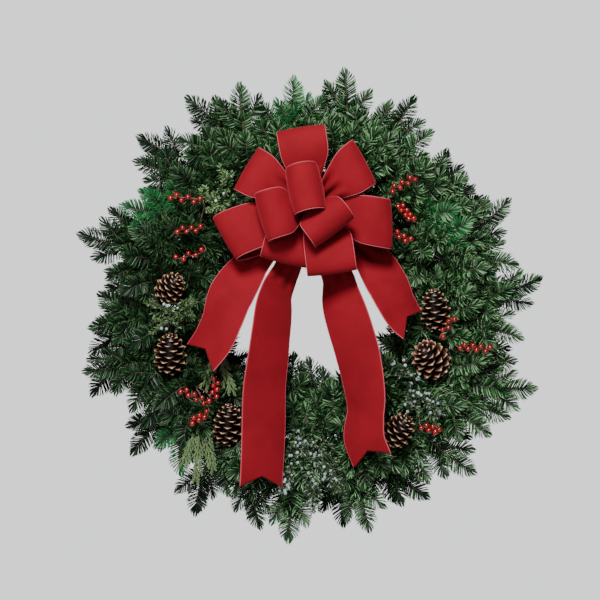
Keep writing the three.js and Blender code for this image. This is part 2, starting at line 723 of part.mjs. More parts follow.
// Juniper: [ring angle of its stem, shift, fork [x, depth, z], tips of its twigs]
const JUNIPERS = [
  [130, 0, [-118, -62, 124], [[-142, -84, 148], [-108, -80, 172], [-126, -98, 128]]],
  [190, -5, [-166, -62, -22], [[-206, -80, 4], [-198, -84, -30], [-158, -90, 2]]],
  [270, 0, [-4, -62, -150], [[-33, -84, -247], [6, -80, -272], [38, -86, -246]]],
  [330, -5, [146, -62, -110], [[130, -86, -138], [170, -84, -144], [120, -84, -82]]],
];
const JUNIPER_BERRY = 3;

/** A juniper spray: short prickly twigs from one stem, each with a few round berries close to it. */
function juniperSpray(index, [ringAngle, shift, fork, tips]) {
  const node = `juniper_spray_${index + 1}`;
  const from = new THREE.Vector3(...fork);
  const stem = hookedLine([from], ringAngle, shift, 2);
  const parts = [tube(stem, 1.8, 4)];
  room.addLine(node, stem, 1.8);
  for (const end of tips) {
    const tip = new THREE.Vector3(...end);
    const bend = from.clone().lerp(tip, 0.5).add(new THREE.Vector3(0, -6, 0));
    const curve = new THREE.QuadraticBezierCurve3(from, bend, tip);
    room.addLine(node, curve.getSpacedPoints(5), JUNIPER_HABIT.radius);
    const berries = Math.max(1, Math.round(curve.getLength() / 70));
    for (let i = 0; i < berries; i += 1) {
      const place = 0.45 + 0.5 * i / berries;
      const run = curve.getTangentAt(place);
      const standing = new THREE.Vector3(i % 2 ? 1 : -1, -0.8, 0.3);
      const square = squareTo(run, standing);
      const spot = curve.getPointAt(place).addScaledVector(square, JUNIPER_BERRY + GAP);
      parts.push(berry(spot, square, JUNIPER_BERRY));
      room.add(node, spot, spot, JUNIPER_BERRY);
    }
    parts.push(needledTwig(node, curve, JUNIPER_HABIT));
  }
  return piece(node, fuse(parts), JUNIPER);
}

// Cedar: [ring angle of its stem, shift, fork [x, depth, z], tips of its fronds]
const CEDARS = [
  [230, -5, [-142, -60, -150], [[-168, -66, -214], [-148, -80, -238], [-124, -66, -222]]],
  [210, -5, [-124, -58, -66], [[-134, -70, -110], [-102, -72, -114]]],
];
const FROND_LOBES = 5;
const FROND_WIDTH = 13; // half the width of a frond at its widest
const FROND_STALK = 0.2; // share of a frond's length that is bare
const FROND_THICKNESS = 1.2;

/** Outline of a frond from its stalk to its tip: a narrow rib with forward-pointing lobes on both sides. */
function frondShape(length) {
  const step = (1 - FROND_STALK) * length / (FROND_LOBES + 0.8);
  const side = [];
  for (let lobe = 0; lobe < FROND_LOBES; lobe += 1) {
    const start = FROND_STALK * length + step * lobe;
    const reach = FROND_WIDTH * Math.sin(Math.PI * ((lobe + 1) / (FROND_LOBES + 1)) ** 0.8);
    side.push([start, 1.5], [start + 1.1 * step, 2 + reach]);
  }
  const lastNotch = FROND_STALK * length + step * FROND_LOBES;
  const shape = new THREE.Shape();
  shape.moveTo(0, -1.5);
  for (const [along, out] of side) shape.lineTo(along, -out);
  shape.lineTo(lastNotch, -1.5);
  shape.lineTo(length, 0);
  shape.lineTo(lastNotch, 1.5);
  for (const [along, out] of side.reverse()) shape.lineTo(along, out);
  shape.lineTo(0, 1.5);
  shape.closePath();
  return shape;
}

/** A flat frond along a drooping curve, its lobes bent back a little. */
function cedarFrond(curve, turn) {
  const length = curve.getLength();
  const slab = { depth: FROND_THICKNESS, bevelEnabled: false };
  const frond = new THREE.ExtrudeGeometry(frondShape(length), slab);
  const place = frond.attributes.position;
  for (let i = 0; i < place.count; i += 1) {
    const u = THREE.MathUtils.clamp(place.getX(i) / length, 0, 1);
    const run = curve.getTangentAt(u);
    const side = new THREE.Vector3().crossVectors(run, new THREE.Vector3(0, -1, 0)).normalize();
    side.applyAxisAngle(run, turn);
    const face = new THREE.Vector3().crossVectors(side, run);
    const across = place.getY(i);
    const lift = place.getZ(i) - FROND_THICKNESS / 2 - 0.012 * across * across;
    const point = curve.getPointAt(u).addScaledVector(side, across).addScaledVector(face, lift);
    place.setXYZ(i, point.x, point.y, point.z);
  }
  return frond;
}

/** A cedar spray: flat fronds that hang from one stem. */
function cedarSpray(index, [ringAngle, shift, fork, tips]) {
  const node = `cedar_spray_${index + 1}`;
  const from = new THREE.Vector3(...fork);
  const stem = hookedLine([from], ringAngle, shift, 2);
  const parts = [tube(stem, 1.8, 4)];
  room.addLine(node, stem, 1.8);
  tips.forEach((end, i) => {
    const tip = new THREE.Vector3(...end);
    const bend = from.clone().lerp(tip, 0.5).add(new THREE.Vector3(0, -8, 0));
    const curve = new THREE.QuadraticBezierCurve3(from, bend, tip);
    room.addLine(node, curve.getSpacedPoints(5), 0.7 * FROND_WIDTH);
    parts.push(cedarFrond(curve, 0.35 * (i - 1)));
  });
  return piece(node, fuse(parts), CEDAR);
}

// ---- Fir bundles ----

// Outer sprays of the rim: [angle of the tip, its reach, sideways lean in degrees, layer from the back]
const RIM_SPRAYS = [
  [6, 310, 20, 1], [11, 280, -25, 2], [27, 300, 20, 1], [29, 260, 20, 2], [36, 265, -25, 1],
  [42, 275, -5, 0], [47, 265, 5, 1], [55, 280, -20, 2], [63, 310, -5, 0], [68, 290, -5, 1],
  [81, 315, 15, 1], [85, 285, 25, 0], [87, 275, -35, 2], [94, 300, -5, 2], [103, 275, 30, 1],
  [108, 305, -15, 2], [114, 300, -10, 0], [120, 320, 20, 1], [128, 280, 40, 2], [135, 320, 15, 0],
  [140, 300, 20, 1], [146, 270, 5, 1], [152, 280, 15, 2], [155, 295, -20, 0], [163, 320, 0, 1],
  [172, 270, 35, 2], [178, 280, -30, 1], [186, 290, 5, 2], [192, 300, 25, 0], [197, 310, -10, 2],
  [202, 315, 30, 0], [210, 275, 35, 2], [220, 310, 15, 0], [232, 285, 45, 1], [241, 320, 20, 0],
  [246, 275, 40, 2], [257, 305, 30, 1], [265, 315, 0, 2], [279, 300, -5, 0], [285, 310, 0, 2],
  [294, 290, 0, 0], [301, 305, 25, 0], [304, 285, -10, 2], [314, 315, 15, 1], [320, 280, 10, 0],
  [324, 295, 0, 2], [330, 305, 10, 1], [339, 320, 25, 2], [344, 285, 20, 1], [351, 285, -10, 2],
];
const RIM_LAYERS = [-30, -48, -66]; // depth of the three layers

/** A curve from a bundle's clamp out to a tip, which it reaches with the given lean off the radius. */
function sprayCurve(clampAngle, tipAngle, reach, lean, bendDepth, tipDepth) {
  const tip = polar(tipAngle, reach, tipDepth);
  const way = polar(tipAngle + lean + (reach < RING_RADIUS ? 180 : 0), 1, 0);
  const apart = Math.abs(reach - RING_RADIUS);
  const bend = tip.clone().addScaledVector(way, -0.6 * apart);
  bend.y = bendDepth;
  const bendAngle = THREE.MathUtils.radToDeg(Math.atan2(bend.z, bend.x));
  const off = ((bendAngle - clampAngle + 540) % 360) - 180;
  const most = THREE.MathUtils.radToDeg(0.4 * BUNCH_LENGTH / RING_RADIUS);
  const start = polar(clampAngle + THREE.MathUtils.clamp(off, -most, most), RING_RADIUS, BUNCH_DEPTH);
  return new THREE.QuadraticBezierCurve3(start, bend, tip);
}

/** Tries depths nearer and further until the spray's stem runs clear of all other pieces. */
function clearSpray(owner, clampAngle, tipAngle, reach, lean, bendDepth, tipDepth) {
  for (const shift of [0, 4, -4, 8, -8, 12, -12, 16, -16]) {
    const curve = sprayCurve(clampAngle, tipAngle, reach, lean, bendDepth + shift, tipDepth + 0.6 * shift);
    const points = curve.getSpacedPoints(8);
    points.push(points[8].clone().addScaledVector(curve.getTangent(1), END_NEEDLE * FIR_HABIT.needleLength));
    const isInFront = points.every((point) => point.y < -DOOR_CLEARANCE - FIR_HABIT.radius);
    if (isInFront && room.isLineFree(owner, points, FIR_HABIT.radius)) {
      room.addLine(owner, points, FIR_HABIT.radius);
      return curve;
    }
  }
  return null;
}

/** Where the sprays of every bundle run, bundle by bundle. */
function planBundles() {
  const bundles = Array.from({ length: BUNDLES }, (_, i) => ({
    name: `fir_bundle_${String(i + 1).padStart(2, '0')}`,
    angle: i * BUNDLE_PITCH,
    curves: [],
  }));
  for (const bundle of bundles) {
    const step = THREE.MathUtils.radToDeg(BUNCH_LENGTH / 2 / RING_RADIUS);
    const ends = [-1, 1].map((side) => polar(bundle.angle + side * step, RING_RADIUS, BUNCH_DEPTH));
    room.add(bundle.name, ends[0], ends[1], BUNCH_RADIUS);
  }
  for (const [tipAngle, reach, lean, layer] of RIM_SPRAYS) {
    const rootAngle = tipAngle - lean * 0.25;
    const bundle = bundles[Math.round(rootAngle / BUNDLE_PITCH + BUNDLES) % BUNDLES];
    const depth = RIM_LAYERS[layer];
    bundle.curves.push(clearSpray(bundle.name, bundle.angle, tipAngle, reach, lean, depth, 0.85 * depth));
  }
  const draw = seededDraws(2024);
  for (const bundle of bundles) {
    const outAngle = bundle.angle + jitter(draw, 5);
    const outReach = 222 + jitter(draw, 12);
    bundle.curves.push(clearSpray(bundle.name, bundle.angle, outAngle, outReach, jitter(draw, 25), -74, -80));
    const inAngle = bundle.angle + jitter(draw, 6);
    const inReach = 112 + jitter(draw, 6);
    bundle.curves.push(clearSpray(bundle.name, bundle.angle, inAngle, inReach, jitter(draw, 30), -52, -58));
  }
  for (const bundle of bundles) bundle.curves = bundle.curves.filter(Boolean);
  return bundles;
}

/** A bundle of fir: stems tied together in one clamp, with needled sprays that fan out of it. */
function firBundle({ name, angle, curves }) {
  const bunch = new THREE.CylinderGeometry(BUNCH_RADIUS, BUNCH_RADIUS, BUNCH_LENGTH, 6);
  bunch.rotateZ(Math.PI / 2);
  bunch.rotateY(-THREE.MathUtils.degToRad(angle + 90));
  bunch.translate(...polar(angle, RING_RADIUS, BUNCH_DEPTH).toArray());
  return piece(name, fuse([bunch, ...curves.map((curve) => needledTwig(name, curve, FIR_HABIT))]), FIR);
}

// ---- Assembly ----

const wreath = new THREE.Group();
wreath.add(wireFrame(), hangingLoop());
wreath.add(...bowLoops());
wreath.add(...TAILS.map((stations, i) => bowTail(i, stations)));
wreath.add(bowTie());
wreath.add(...PINE_CONES.map((cone, i) => pineCone(i, cone)));
wreath.add(...BERRY_PICKS.map((pick, i) => berryPick(i, pick)));
wreath.add(...JUNIPERS.map((spray, i) => juniperSpray(i, spray)));
wreath.add(...CEDARS.map((spray, i) => cedarSpray(i, spray)));
wreath.add(...planBundles().map(firBundle));
wreath.position.set(0, -HOOK_DEPTH, -HOOK_HEIGHT);

export default wreath;
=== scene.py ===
"""Fresh evergreen wreath with pine cones, red berries and a velvet bow: its finished look.

Shapes are worked out in millimetres from the middle of the wire ring, with +X right, +Z up and +Y to
the back, and moved to the frame's metres when a mesh is made.
"""
import logging
import math
from dataclasses import dataclass, field, replace
from enum import Enum, IntEnum
from typing import Optional, Sequence

import bpy
import numpy as np
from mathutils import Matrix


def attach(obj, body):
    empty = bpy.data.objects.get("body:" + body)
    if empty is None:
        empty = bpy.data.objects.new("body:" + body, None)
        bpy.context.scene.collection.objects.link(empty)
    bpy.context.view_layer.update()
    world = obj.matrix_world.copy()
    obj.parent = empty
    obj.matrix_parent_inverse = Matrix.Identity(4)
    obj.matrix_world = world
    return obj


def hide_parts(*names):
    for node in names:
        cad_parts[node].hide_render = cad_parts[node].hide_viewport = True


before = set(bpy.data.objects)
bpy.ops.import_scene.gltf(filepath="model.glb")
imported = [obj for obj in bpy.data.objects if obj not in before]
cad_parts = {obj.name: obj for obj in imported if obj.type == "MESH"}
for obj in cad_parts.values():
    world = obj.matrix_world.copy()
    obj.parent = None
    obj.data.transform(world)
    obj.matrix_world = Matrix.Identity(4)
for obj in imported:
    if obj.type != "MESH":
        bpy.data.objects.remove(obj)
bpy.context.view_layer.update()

Array = np.ndarray
Draws = np.random.Generator
Material = bpy.types.Material
Socket = bpy.types.NodeSocket
Colour = tuple[float, float, float]
Place = tuple[float, float, float]
Span = tuple[float, float]
log = logging.getLogger("wreath")

MM = 0.001
TINY = 1e-9
RING_CENTRE = np.array((0.0, 8.0, -203.0))  # the ring's middle, in mm from the hook point
VIEWER = np.array((0.0, -1.0, 0.0))
ACROSS = np.array((1.0, 0.0, 0.0))
UP = np.array((0.0, 0.0, 1.0))
GOLDEN_TURN = math.pi * (3 - math.sqrt(5))

RING_RADIUS = 175.0
RING_WIRE = 2.2
RING_DEPTH = -14.0
BUNCH_RADIUS = 5.5
BUNCH_LENGTH = 44.0
BUNCH_DEPTH = -22.0
BACK_PLANE = -7.5  # foliage reaches no further back than this

PICK_WIRE = 1.0
SPRAY_WIRE = 1.6
WIRE_SIDES = 8
WIRE_FACING = np.array((0.3, 0.2, 1.0))  # no pick's wire runs along this way
HOOK_ROUTE = ((-6.0, -24.0), (-5.3, 1.0), (-3.0, 4.4), (0.0, 5.2))  # outwards and back from the ring's wire

RIBBON_WIDTH = 63.5
RIBBON_THICKNESS = 1.2
BOW_CENTRE = np.array((1.0, -98.0, 127.0))
TIE_RADIUS = 6.4


# ---- Small helpers ----


def unit(ways: Array) -> Array:
    """Vectors at unit length, along the last axis."""
    return ways / np.maximum(np.linalg.norm(ways, axis=-1, keepdims=True), TINY)


def square_to(runs: Array, ways: Array) -> Array:
    """The part of each way that stands square to its run, at unit length."""
    return unit(ways - np.sum(ways * runs, axis=-1, keepdims=True) * runs)


def ease(x: Array) -> Array:
    """Smooth step: 0 below 0, 1 above 1, and 3x^2 - 2x^3 between."""
    x = np.clip(x, 0.0, 1.0)
    return x * x * (3 - 2 * x)


def fade(values: Array, band: Span) -> Array:
    """A share that eases from 0 at a band's start to 1 once its length is passed."""
    return ease((values - band[0]) / band[1])


def soft_least(a: Array, b: Array, blend: float) -> Array:
    """The smaller of a and b, rounded off over the blend: (a + b - sqrt((a - b)^2 + blend^2)) / 2."""
    return (a + b - np.sqrt((a - b) ** 2 + blend**2)) / 2


def polar(degrees: Array, distance: Array, depth: Array) -> Array:
    """Points round the ring: x = d cos a, y = depth and z = d sin a.

    Args:
        degrees: Angle a round the ring, from its right side upwards.
        distance: Distance d from the ring's middle.
        depth: Depth, which grows to the back.

    Returns:
        One point, or one a row.
    """
    angle = np.radians(degrees)
    x, y, z = np.broadcast_arrays(distance * np.cos(angle), depth, distance * np.sin(angle))
    return np.stack((x, y, z), axis=-1).astype(float)


def turned(ways: Array, axes: Array, angles: Array) -> Array:
    """Vectors turned about unit axes by the right-hand rule: v cos a + (k x v) sin a + k (k.v)(1 - cos a).

    Args:
        ways: The vectors v, one a row.
        axes: The axes k, one or one a row.
        angles: The angles a in radians.

    Returns:
        The turned vectors.
    """
    cos = np.cos(angles)[..., None]
    sin = np.sin(angles)[..., None]
    along = np.sum(ways * axes, axis=-1, keepdims=True)
    return ways * cos + np.cross(axes, ways) * sin + axes * along * (1 - cos)


def coin(draw: Draws) -> int:
    """Draws 1 or -1."""
    return 1 if draw.random() < 0.5 else -1


def smooth_line(points: Array, params: Array) -> Array:
    """Centripetal Catmull-Rom line through points.

    Each stretch is a cubic Hermite whose end slopes come from the neighbouring points, spaced by the
    square root of their distances.

    Args:
        points: The points it passes through, one a row.
        params: Places from 0, the first point, to 1, the last; each stretch takes an equal share.

    Returns:
        One point for each place.
    """
    padded = np.vstack((2 * points[0] - points[1], points, 2 * points[-1] - points[-2]))
    place = np.clip(params, 0, 1) * (len(points) - 1)
    i = np.clip(np.floor(place).astype(int), 0, len(points) - 2)
    w = (place - i)[:, None]
    p0, p1, p2, p3 = (padded[i + k] for k in range(4))
    d0, d1, d2 = (
        np.sqrt(np.maximum(np.linalg.norm(b - a, axis=1, keepdims=True), 1e-6))
        for a, b in ((p0, p1), (p1, p2), (p2, p3))
    )
    slope1 = d1 * ((p1 - p0) / d0 - (p2 - p0) / (d0 + d1) + (p2 - p1) / d1)
    slope2 = d1 * ((p2 - p1) / d1 - (p3 - p1) / (d1 + d2) + (p3 - p2) / d2)
    return (
        (2 * w**3 - 3 * w**2 + 1) * p1
        + (w**3 - 2 * w**2 + w) * slope1
        + (3 * w**2 - 2 * w**3) * p2
        + (w**3 - w**2) * slope2
    )


def hooked_line(points: Sequence[Array], degrees: float, shift: float, steps: int) -> Array:
    """A pick's wire: smooth from its start, in over the ring's inner side and hooked behind the ring.

    Args:
        points: Where the wire starts, and any point on its way.
        degrees: Angle round the ring where it is hooked.
        shift: Sideways shift of the hook along the ring.
        steps: How many stretches the smooth part has.

    Returns:
        The wire's middle line.
    """
    angle = degrees + math.degrees(shift / RING_RADIUS)
    over, *hook = (polar(angle, RING_RADIUS + out, RING_DEPTH + back) for out, back in HOOK_ROUTE)
    smooth = smooth_line(np.vstack((*points, over)), np.linspace(0, 1, steps + 1))
    return np.vstack((smooth, *hook))


# ---- Meshes ----


class Part(IntEnum):
    """Which of a piece's finishes a part of it wears."""

    BODY = 0
    STEM = 1
    FRUIT = 2


@dataclass(frozen=True)
class Facets:
    """How a repeated shape's points are joined: its count of points, faces of four corners and of three."""

    size: int
    quads: Array
    tris: Array


NO_QUADS = np.empty((0, 4), int)
NO_TRIS = np.empty((0, 3), int)


@dataclass
class Draft:
    """A mesh in the making. Each point has a tint: a share of tone, of height, of edge and of freshness."""

    points: list[Array] = field(default_factory=list)
    tints: list[Array] = field(default_factory=list)
    faces: dict[int, list[Array]] = field(default_factory=lambda: {3: [], 4: []})
    finishes: dict[int, list[Array]] = field(default_factory=lambda: {3: [], 4: []})
    count: int = 0

    def add(self, points: Array, facets: Facets, look: Array, part: Part = Part.BODY) -> None:
        """Adds copies of a shape.

        Args:
            points: Points of all copies, as (copies, points, 3), or of one as (points, 3).
            facets: How each copy's points are joined.
            look: A tint for each point, or any shape that spreads to it.
            part: Which of the piece's finishes the copies wear.
        """
        points = points.reshape(-1, facets.size, 3)
        tints = np.broadcast_to(look, (*points.shape[:2], 4))
        offsets = self.count + facets.size * np.arange(len(points))[:, None, None]
        for corners, faces in ((4, facets.quads), (3, facets.tris)):
            if len(faces):
                self.faces[corners].append((faces[None] + offsets).reshape(-1, corners))
                self.finishes[corners].append(np.full(len(points) * len(faces), int(part)))
        self.points.append(points.reshape(-1, 3))
        self.tints.append(tints.reshape(-1, 4))
        self.count += points.shape[0] * facets.size

    def to_mesh(self, name: str, smooth: bool) -> bpy.types.Mesh:
        """Makes the mesh in the frame's metres, with the tints as its growth attribute.

        Args:
            name: The mesh's name.
            smooth: Whether the faces are shaded as one rounded surface.

        Returns:
            The mesh, without finishes.
        """
        mesh = bpy.data.meshes.new(name)
        points = (np.vstack(self.points) + RING_CENTRE) * MM
        mesh.vertices.add(len(points))
        mesh.vertices.foreach_set("co", points.astype(np.float32).ravel())
        used = [corners for corners in (3, 4) if self.faces[corners]]
        faces = [np.vstack(self.faces[corners]) for corners in used]
        finishes = np.concatenate([part for corners in used for part in self.finishes[corners]])
        order = np.concatenate([group.ravel() for group in faces])
        sizes = np.concatenate([np.full(len(group), group.shape[1]) for group in faces])
        starts = np.concatenate(((0,), np.cumsum(sizes)[:-1]))
        mesh.loops.add(len(order))
        mesh.loops.foreach_set("vertex_index", order.astype(np.int32))
        mesh.polygons.add(len(sizes))
        mesh.polygons.foreach_set("loop_start", starts.astype(np.int32))
        mesh.polygons.foreach_set("material_index", finishes.astype(np.int32))
        mesh.polygons.foreach_set("use_smooth", np.full(len(sizes), smooth))
        growth = mesh.color_attributes.new(name="growth", type="FLOAT_COLOR", domain="POINT")
        growth.data.foreach_set("color", np.vstack(self.tints).astype(np.float32).ravel())
        return mesh

    def to_piece(
        self,
        name: str,
        nodes: Sequence[str],
        materials: Sequence[Material],
        smooth: bool = False,
    ) -> bpy.types.Object:
        """Makes the piece and ties it to the frame.

        Args:
            name: The piece's name.
            nodes: Solids that the piece stands for.
            materials: The piece's finishes, in order.
            smooth: Whether the faces are shaded as one rounded surface.

        Returns:
            The finished piece.
        """
        mesh = self.to_mesh(name, smooth)
        for material in materials:
            mesh.materials.append(material)
        mesh.update(calc_edges=True)
        mesh.validate()
        piece = bpy.data.objects.new(name, mesh)
        bpy.context.scene.collection.objects.link(piece)
        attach(piece, "root")
        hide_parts(*nodes)
        log.info("%s: %d faces", name, len(mesh.polygons))
        return piece


def tint(tone: float = 0.5, height: float = 0.5, edge: float = 0.0, fresh: float = 0.0) -> Array:
    """One tint for a whole shape."""
    return np.array((tone, height, edge, fresh))


PLAIN_LOOK = tint()
BARK_LOOK = tint(0.5, 0.6, 0.1)


def grid_quads(rows: int, columns: int, closed: bool) -> Array:
    """Faces of a grid of points that are counted row by row.

    Args:
        rows: Rows of points.
        columns: Points in each row.
        closed: Whether the last column is joined to the first.

    Returns:
        Faces of four corners, one a row.
    """
    row, column = np.mgrid[0 : rows - 1, 0 : columns if closed else columns - 1]
    here = row.ravel() * columns
    column = column.ravel()
    beside = (column + 1) % columns
    return np.stack((here + column, here + beside, here + columns + beside, here + columns + column), axis=1)


def tube_facets(rows: int, sides: int) -> Facets:
    """Faces of a tube of rings, with a middle point that closes each end.

    Args:
        rows: Rings along the tube.
        sides: Points in each ring.

    Returns:
        How its ring points, then its two end middles, are joined.
    """
    around = np.arange(sides)
    beside = (around + 1) % sides
    first, last = rows * sides, rows * sides + 1
    low = np.stack((np.full(sides, first), beside, around), axis=1)
    end = (rows - 1) * sides
    high = np.stack((np.full(sides, last), end + around, end + beside), axis=1)
    return Facets(rows * sides + 2, grid_quads(rows, sides, True), np.vstack((low, high)))


def add_tube(
    draft: Draft, line: Array, radii: Array, sides: int, facing: Array, look: Array, part: Part = Part.BODY
) -> None:
    """Adds a round tube along a line: rings of centre + r (cos a side + sin a up), square to its run.

    Args:
        draft: The mesh.
        line: The tube's middle line.
        radii: Its radius, one number or one for each point of the line.
        sides: Points in each ring.
        facing: A way that no stretch of the line runs along, or one for each point.
        look: Its tint.
        part: Which of the piece's finishes it wears.
    """
    runs = unit(np.gradient(line, axis=0))
    side = square_to(runs, np.broadcast_to(facing, line.shape))
    up = np.cross(runs, side)
    angles = 2 * math.pi * np.arange(sides) / sides
    spokes = np.cos(angles)[None, :, None] * side[:, None] + np.sin(angles)[None, :, None] * up[:, None]
    rings = line[:, None] + np.broadcast_to(radii, len(line))[:, None, None] * spokes
    points = np.vstack((rings.reshape(-1, 3), line[:1], line[-1:]))
    draft.add(points, tube_facets(len(line), sides), look, part)


def add_ring(draft: Draft, centre: Array, across: Array, radius: float, wire: float) -> None:
    """Adds a closed upright wire ring: a circle in the plane of across and up, with a round section.

    Args:
        draft: The mesh.
        centre: Its middle.
        across: The level way in its plane.
        radius: Radius of the circle.
        wire: Radius of the wire.
    """
    steps, sides = 96, 12
    around = 2 * math.pi * np.arange(steps) / steps
    out = np.cos(around)[:, None] * across + np.sin(around)[:, None] * UP
    angles = 2 * math.pi * np.arange(sides) / sides
    axis = np.cross(across, UP)
    spokes = np.cos(angles)[None, :, None] * out[:, None] + np.sin(angles)[None, :, None] * axis
    points = centre + radius * out[:, None] + wire * spokes
    quads = grid_quads(steps + 1, sides, True) % (steps * sides)
    draft.add(points.reshape(-1, 3), Facets(steps * sides, quads, NO_TRIS), PLAIN_LOOK)


def ball(sides: int, rings: int) -> tuple[Array, Facets]:
    """A unit ball: rings of equal latitude with a point at each pole.

    Args:
        sides: Points in each ring.
        rings: Rings between the poles.

    Returns:
        Its points, the low pole last but one and the high pole last, and how they are joined.
    """
    latitude = math.pi * (np.arange(rings) + 1) / (rings + 1) - math.pi / 2
    around = 2 * math.pi * np.arange(sides) / sides
    points = np.stack(
        (
            np.cos(latitude)[:, None] * np.cos(around),
            np.cos(latitude)[:, None] * np.sin(around),
            np.broadcast_to(np.sin(latitude)[:, None], (rings, sides)),
        ),
        axis=-1,
    )
    poles = np.array(((0, 0, -1.0), (0, 0, 1.0)))
    return np.vstack((points.reshape(-1, 3), poles)), tube_facets(rings, sides)


def cloth_points(middle: Array, thickness: float) -> Array:
    """Both faces of a sheet: its middle grid plus and minus half its thickness along the surface's normal.

    Args:
        middle: The middle grid, as (rows, columns, 3).
        thickness: The sheet's thickness.

    Returns:
        Points of the upper face, then of the lower, for cloth_facets.
    """
    down = np.gradient(middle, axis=0)
    across = np.gradient(middle, axis=1)
    lift = unit(np.cross(across, down)) * thickness / 2
    return np.concatenate(((middle + lift).reshape(-1, 3), (middle - lift).reshape(-1, 3)))


def cloth_facets(rows: int, columns: int) -> Facets:
    """Faces of a sheet of even thickness: two grids and the wall round them.

    Args:
        rows: Rows of points in its middle grid.
        columns: Points in each row.

    Returns:
        How the points that cloth_points gives are joined.
    """
    top = grid_quads(rows, columns, False)[:, ::-1]
    size = rows * columns
    grid = np.arange(size).reshape(rows, columns)
    rim = np.concatenate((grid[0, :-1], grid[:-1, -1], grid[-1, :0:-1], grid[:0:-1, 0]))
    after = np.roll(rim, -1)
    wall = np.stack((rim, after, after + size, rim + size), axis=1)
    return Facets(2 * size, np.vstack((top, top[:, ::-1] + size, wall)), NO_TRIS)


# ---- Finishes ----


class Mix(Enum):
    """Ways to mix two colours."""

    OVER = "MIX"
    SHADE = "MULTIPLY"


class Bench:
    """Lays out the nodes of one material."""

    def __init__(self, name: str) -> None:
        """Starts a material with a shader and nothing joined to it.

        Args:
            name: The material's name.
        """
        self.material = bpy.data.materials.new(name)
        self.material.use_nodes = True
        self.tree = self.material.node_tree
        self.shader = self.tree.nodes["Principled BSDF"]

    def node(self, kind: str, **settings: object) -> bpy.types.Node:
        """Adds a node.

        Args:
            kind: Its type.
            settings: Its properties.

        Returns:
            The node.
        """
        made = self.tree.nodes.new(kind)
        for key, value in settings.items():
            setattr(made, key, value)
        return made

    def feed(self, target: Socket, value: object) -> None:
        """Joins a socket to another, or sets its number or colour.

        Args:
            target: The socket that is fed.
            value: A socket, a colour as red, green and blue, or a number.
        """
        if isinstance(value, Socket):
            self.tree.links.new(value, target)
        elif isinstance(value, tuple):
            target.default_value = (*value, 1.0)
        else:
            target.default_value = value

    def blend(self, share: object, low: object, high: object, way: Mix = Mix.OVER) -> Socket:
        """Mixes two colours.

        Args:
            share: A socket, or a number from 0 to 1.
            low: The colour at share 0, a socket or red, green and blue.
            high: The colour at share 1.
            way: How they mix.

        Returns:
            The mixed colour.
        """
        mix = self.node("ShaderNodeMix", data_type="RGBA", blend_type=way.value)
        for socket, value in ((mix.inputs[0], share), (mix.inputs[6], low), (mix.inputs[7], high)):
            self.feed(socket, value)
        return mix.outputs[2]

    def ramp(self, source: Socket, band: Span, span: Span = (0.0, 1.0)) -> Socket:
        """Maps a value smoothly from one range to another and keeps it within its ends.

        Args:
            source: The value.
            band: The range that is mapped.
            span: What its two ends become.

        Returns:
            The mapped value.
        """
        node = self.node("ShaderNodeMapRange", interpolation_type="SMOOTHSTEP")
        for socket, value in zip(node.inputs, (source, *band, *span)):
            self.feed(socket, value)
        return node.outputs[0]

    def growth(self) -> tuple[Socket, ...]:
        """Reads the piece's own tint.

        Returns:
            Its tone, height, edge and freshness.
        """
        source = self.node("ShaderNodeAttribute", attribute_name="growth")
        parts = self.node("ShaderNodeSeparateColor")
        self.feed(parts.inputs[0], source.outputs["Color"])
        return (*parts.outputs[:3], source.outputs["Alpha"])

    def mottle(self, scale: float, bump: float, depth: float = 0.0005) -> Socket:
        """Adds the shared patchiness and joins its bumps to the shader.

        Args:
            scale: How fine the patches are.
            bump: How strong the bumps are.
            depth: How high the bumps are, in metres.

        Returns:
            The patches, as shares from 0 to 1.
        """
        group = self.node("ShaderNodeGroup", node_tree=mottle_group())
        for key, value in (("Scale", scale), ("Bump", bump), ("Depth", depth)):
            self.feed(group.inputs[key], value)
        self.feed(self.shader.inputs["Normal"], group.outputs["Normal"])
        return group.outputs["Patches"]

    def finish(self, colour: object, **sockets: object) -> Material:
        """Gives the shader its colour and its own numbers.

        Args:
            colour: A socket, or red, green and blue.
            sockets: Values by socket name, with a low line for each space.

        Returns:
            The finished material.
        """
        self.feed(self.shader.inputs["Base Color"], colour)
        for key, value in sockets.items():
            self.feed(self.shader.inputs[key.replace("_", " ")], value)
        return self.material


def mottle_group() -> bpy.types.NodeTree:
    """Natural unevenness, built once: noise on the object's own coordinates, as patches and as bumps.

    Returns:
        A group that takes Scale, Bump and Depth, and puts out Patches and Normal.
    """
    name = "mottle"
    if name in bpy.data.node_groups:
        return bpy.data.node_groups[name]
    tree = bpy.data.node_groups.new(name, "ShaderNodeTree")
    for key in ("Scale", "Bump", "Depth"):
        tree.interface.new_socket(name=key, in_out="INPUT", socket_type="NodeSocketFloat")
    tree.interface.new_socket(name="Patches", in_out="OUTPUT", socket_type="NodeSocketFloat")
    tree.interface.new_socket(name="Normal", in_out="OUTPUT", socket_type="NodeSocketVector")
    given = tree.nodes.new("NodeGroupInput").outputs
    result = tree.nodes.new("NodeGroupOutput").inputs
    place = tree.nodes.new("ShaderNodeTexCoord").outputs
    noise = tree.nodes.new("ShaderNodeTexNoise")
    bump = tree.nodes.new("ShaderNodeBump")
    noise.inputs["Detail"].default_value = 4.0
    for source, target in (
        (place["Object"], noise.inputs["Vector"]),
        (given["Scale"], noise.inputs["Scale"]),
        (noise.outputs["Fac"], bump.inputs["Height"]),
        (given["Bump"], bump.inputs["Strength"]),
        (given["Depth"], bump.inputs["Distance"]),
        (noise.outputs["Fac"], result["Patches"]),
        (bump.outputs["Normal"], result["Normal"]),
    ):
        tree.links.new(source, target)
    return tree


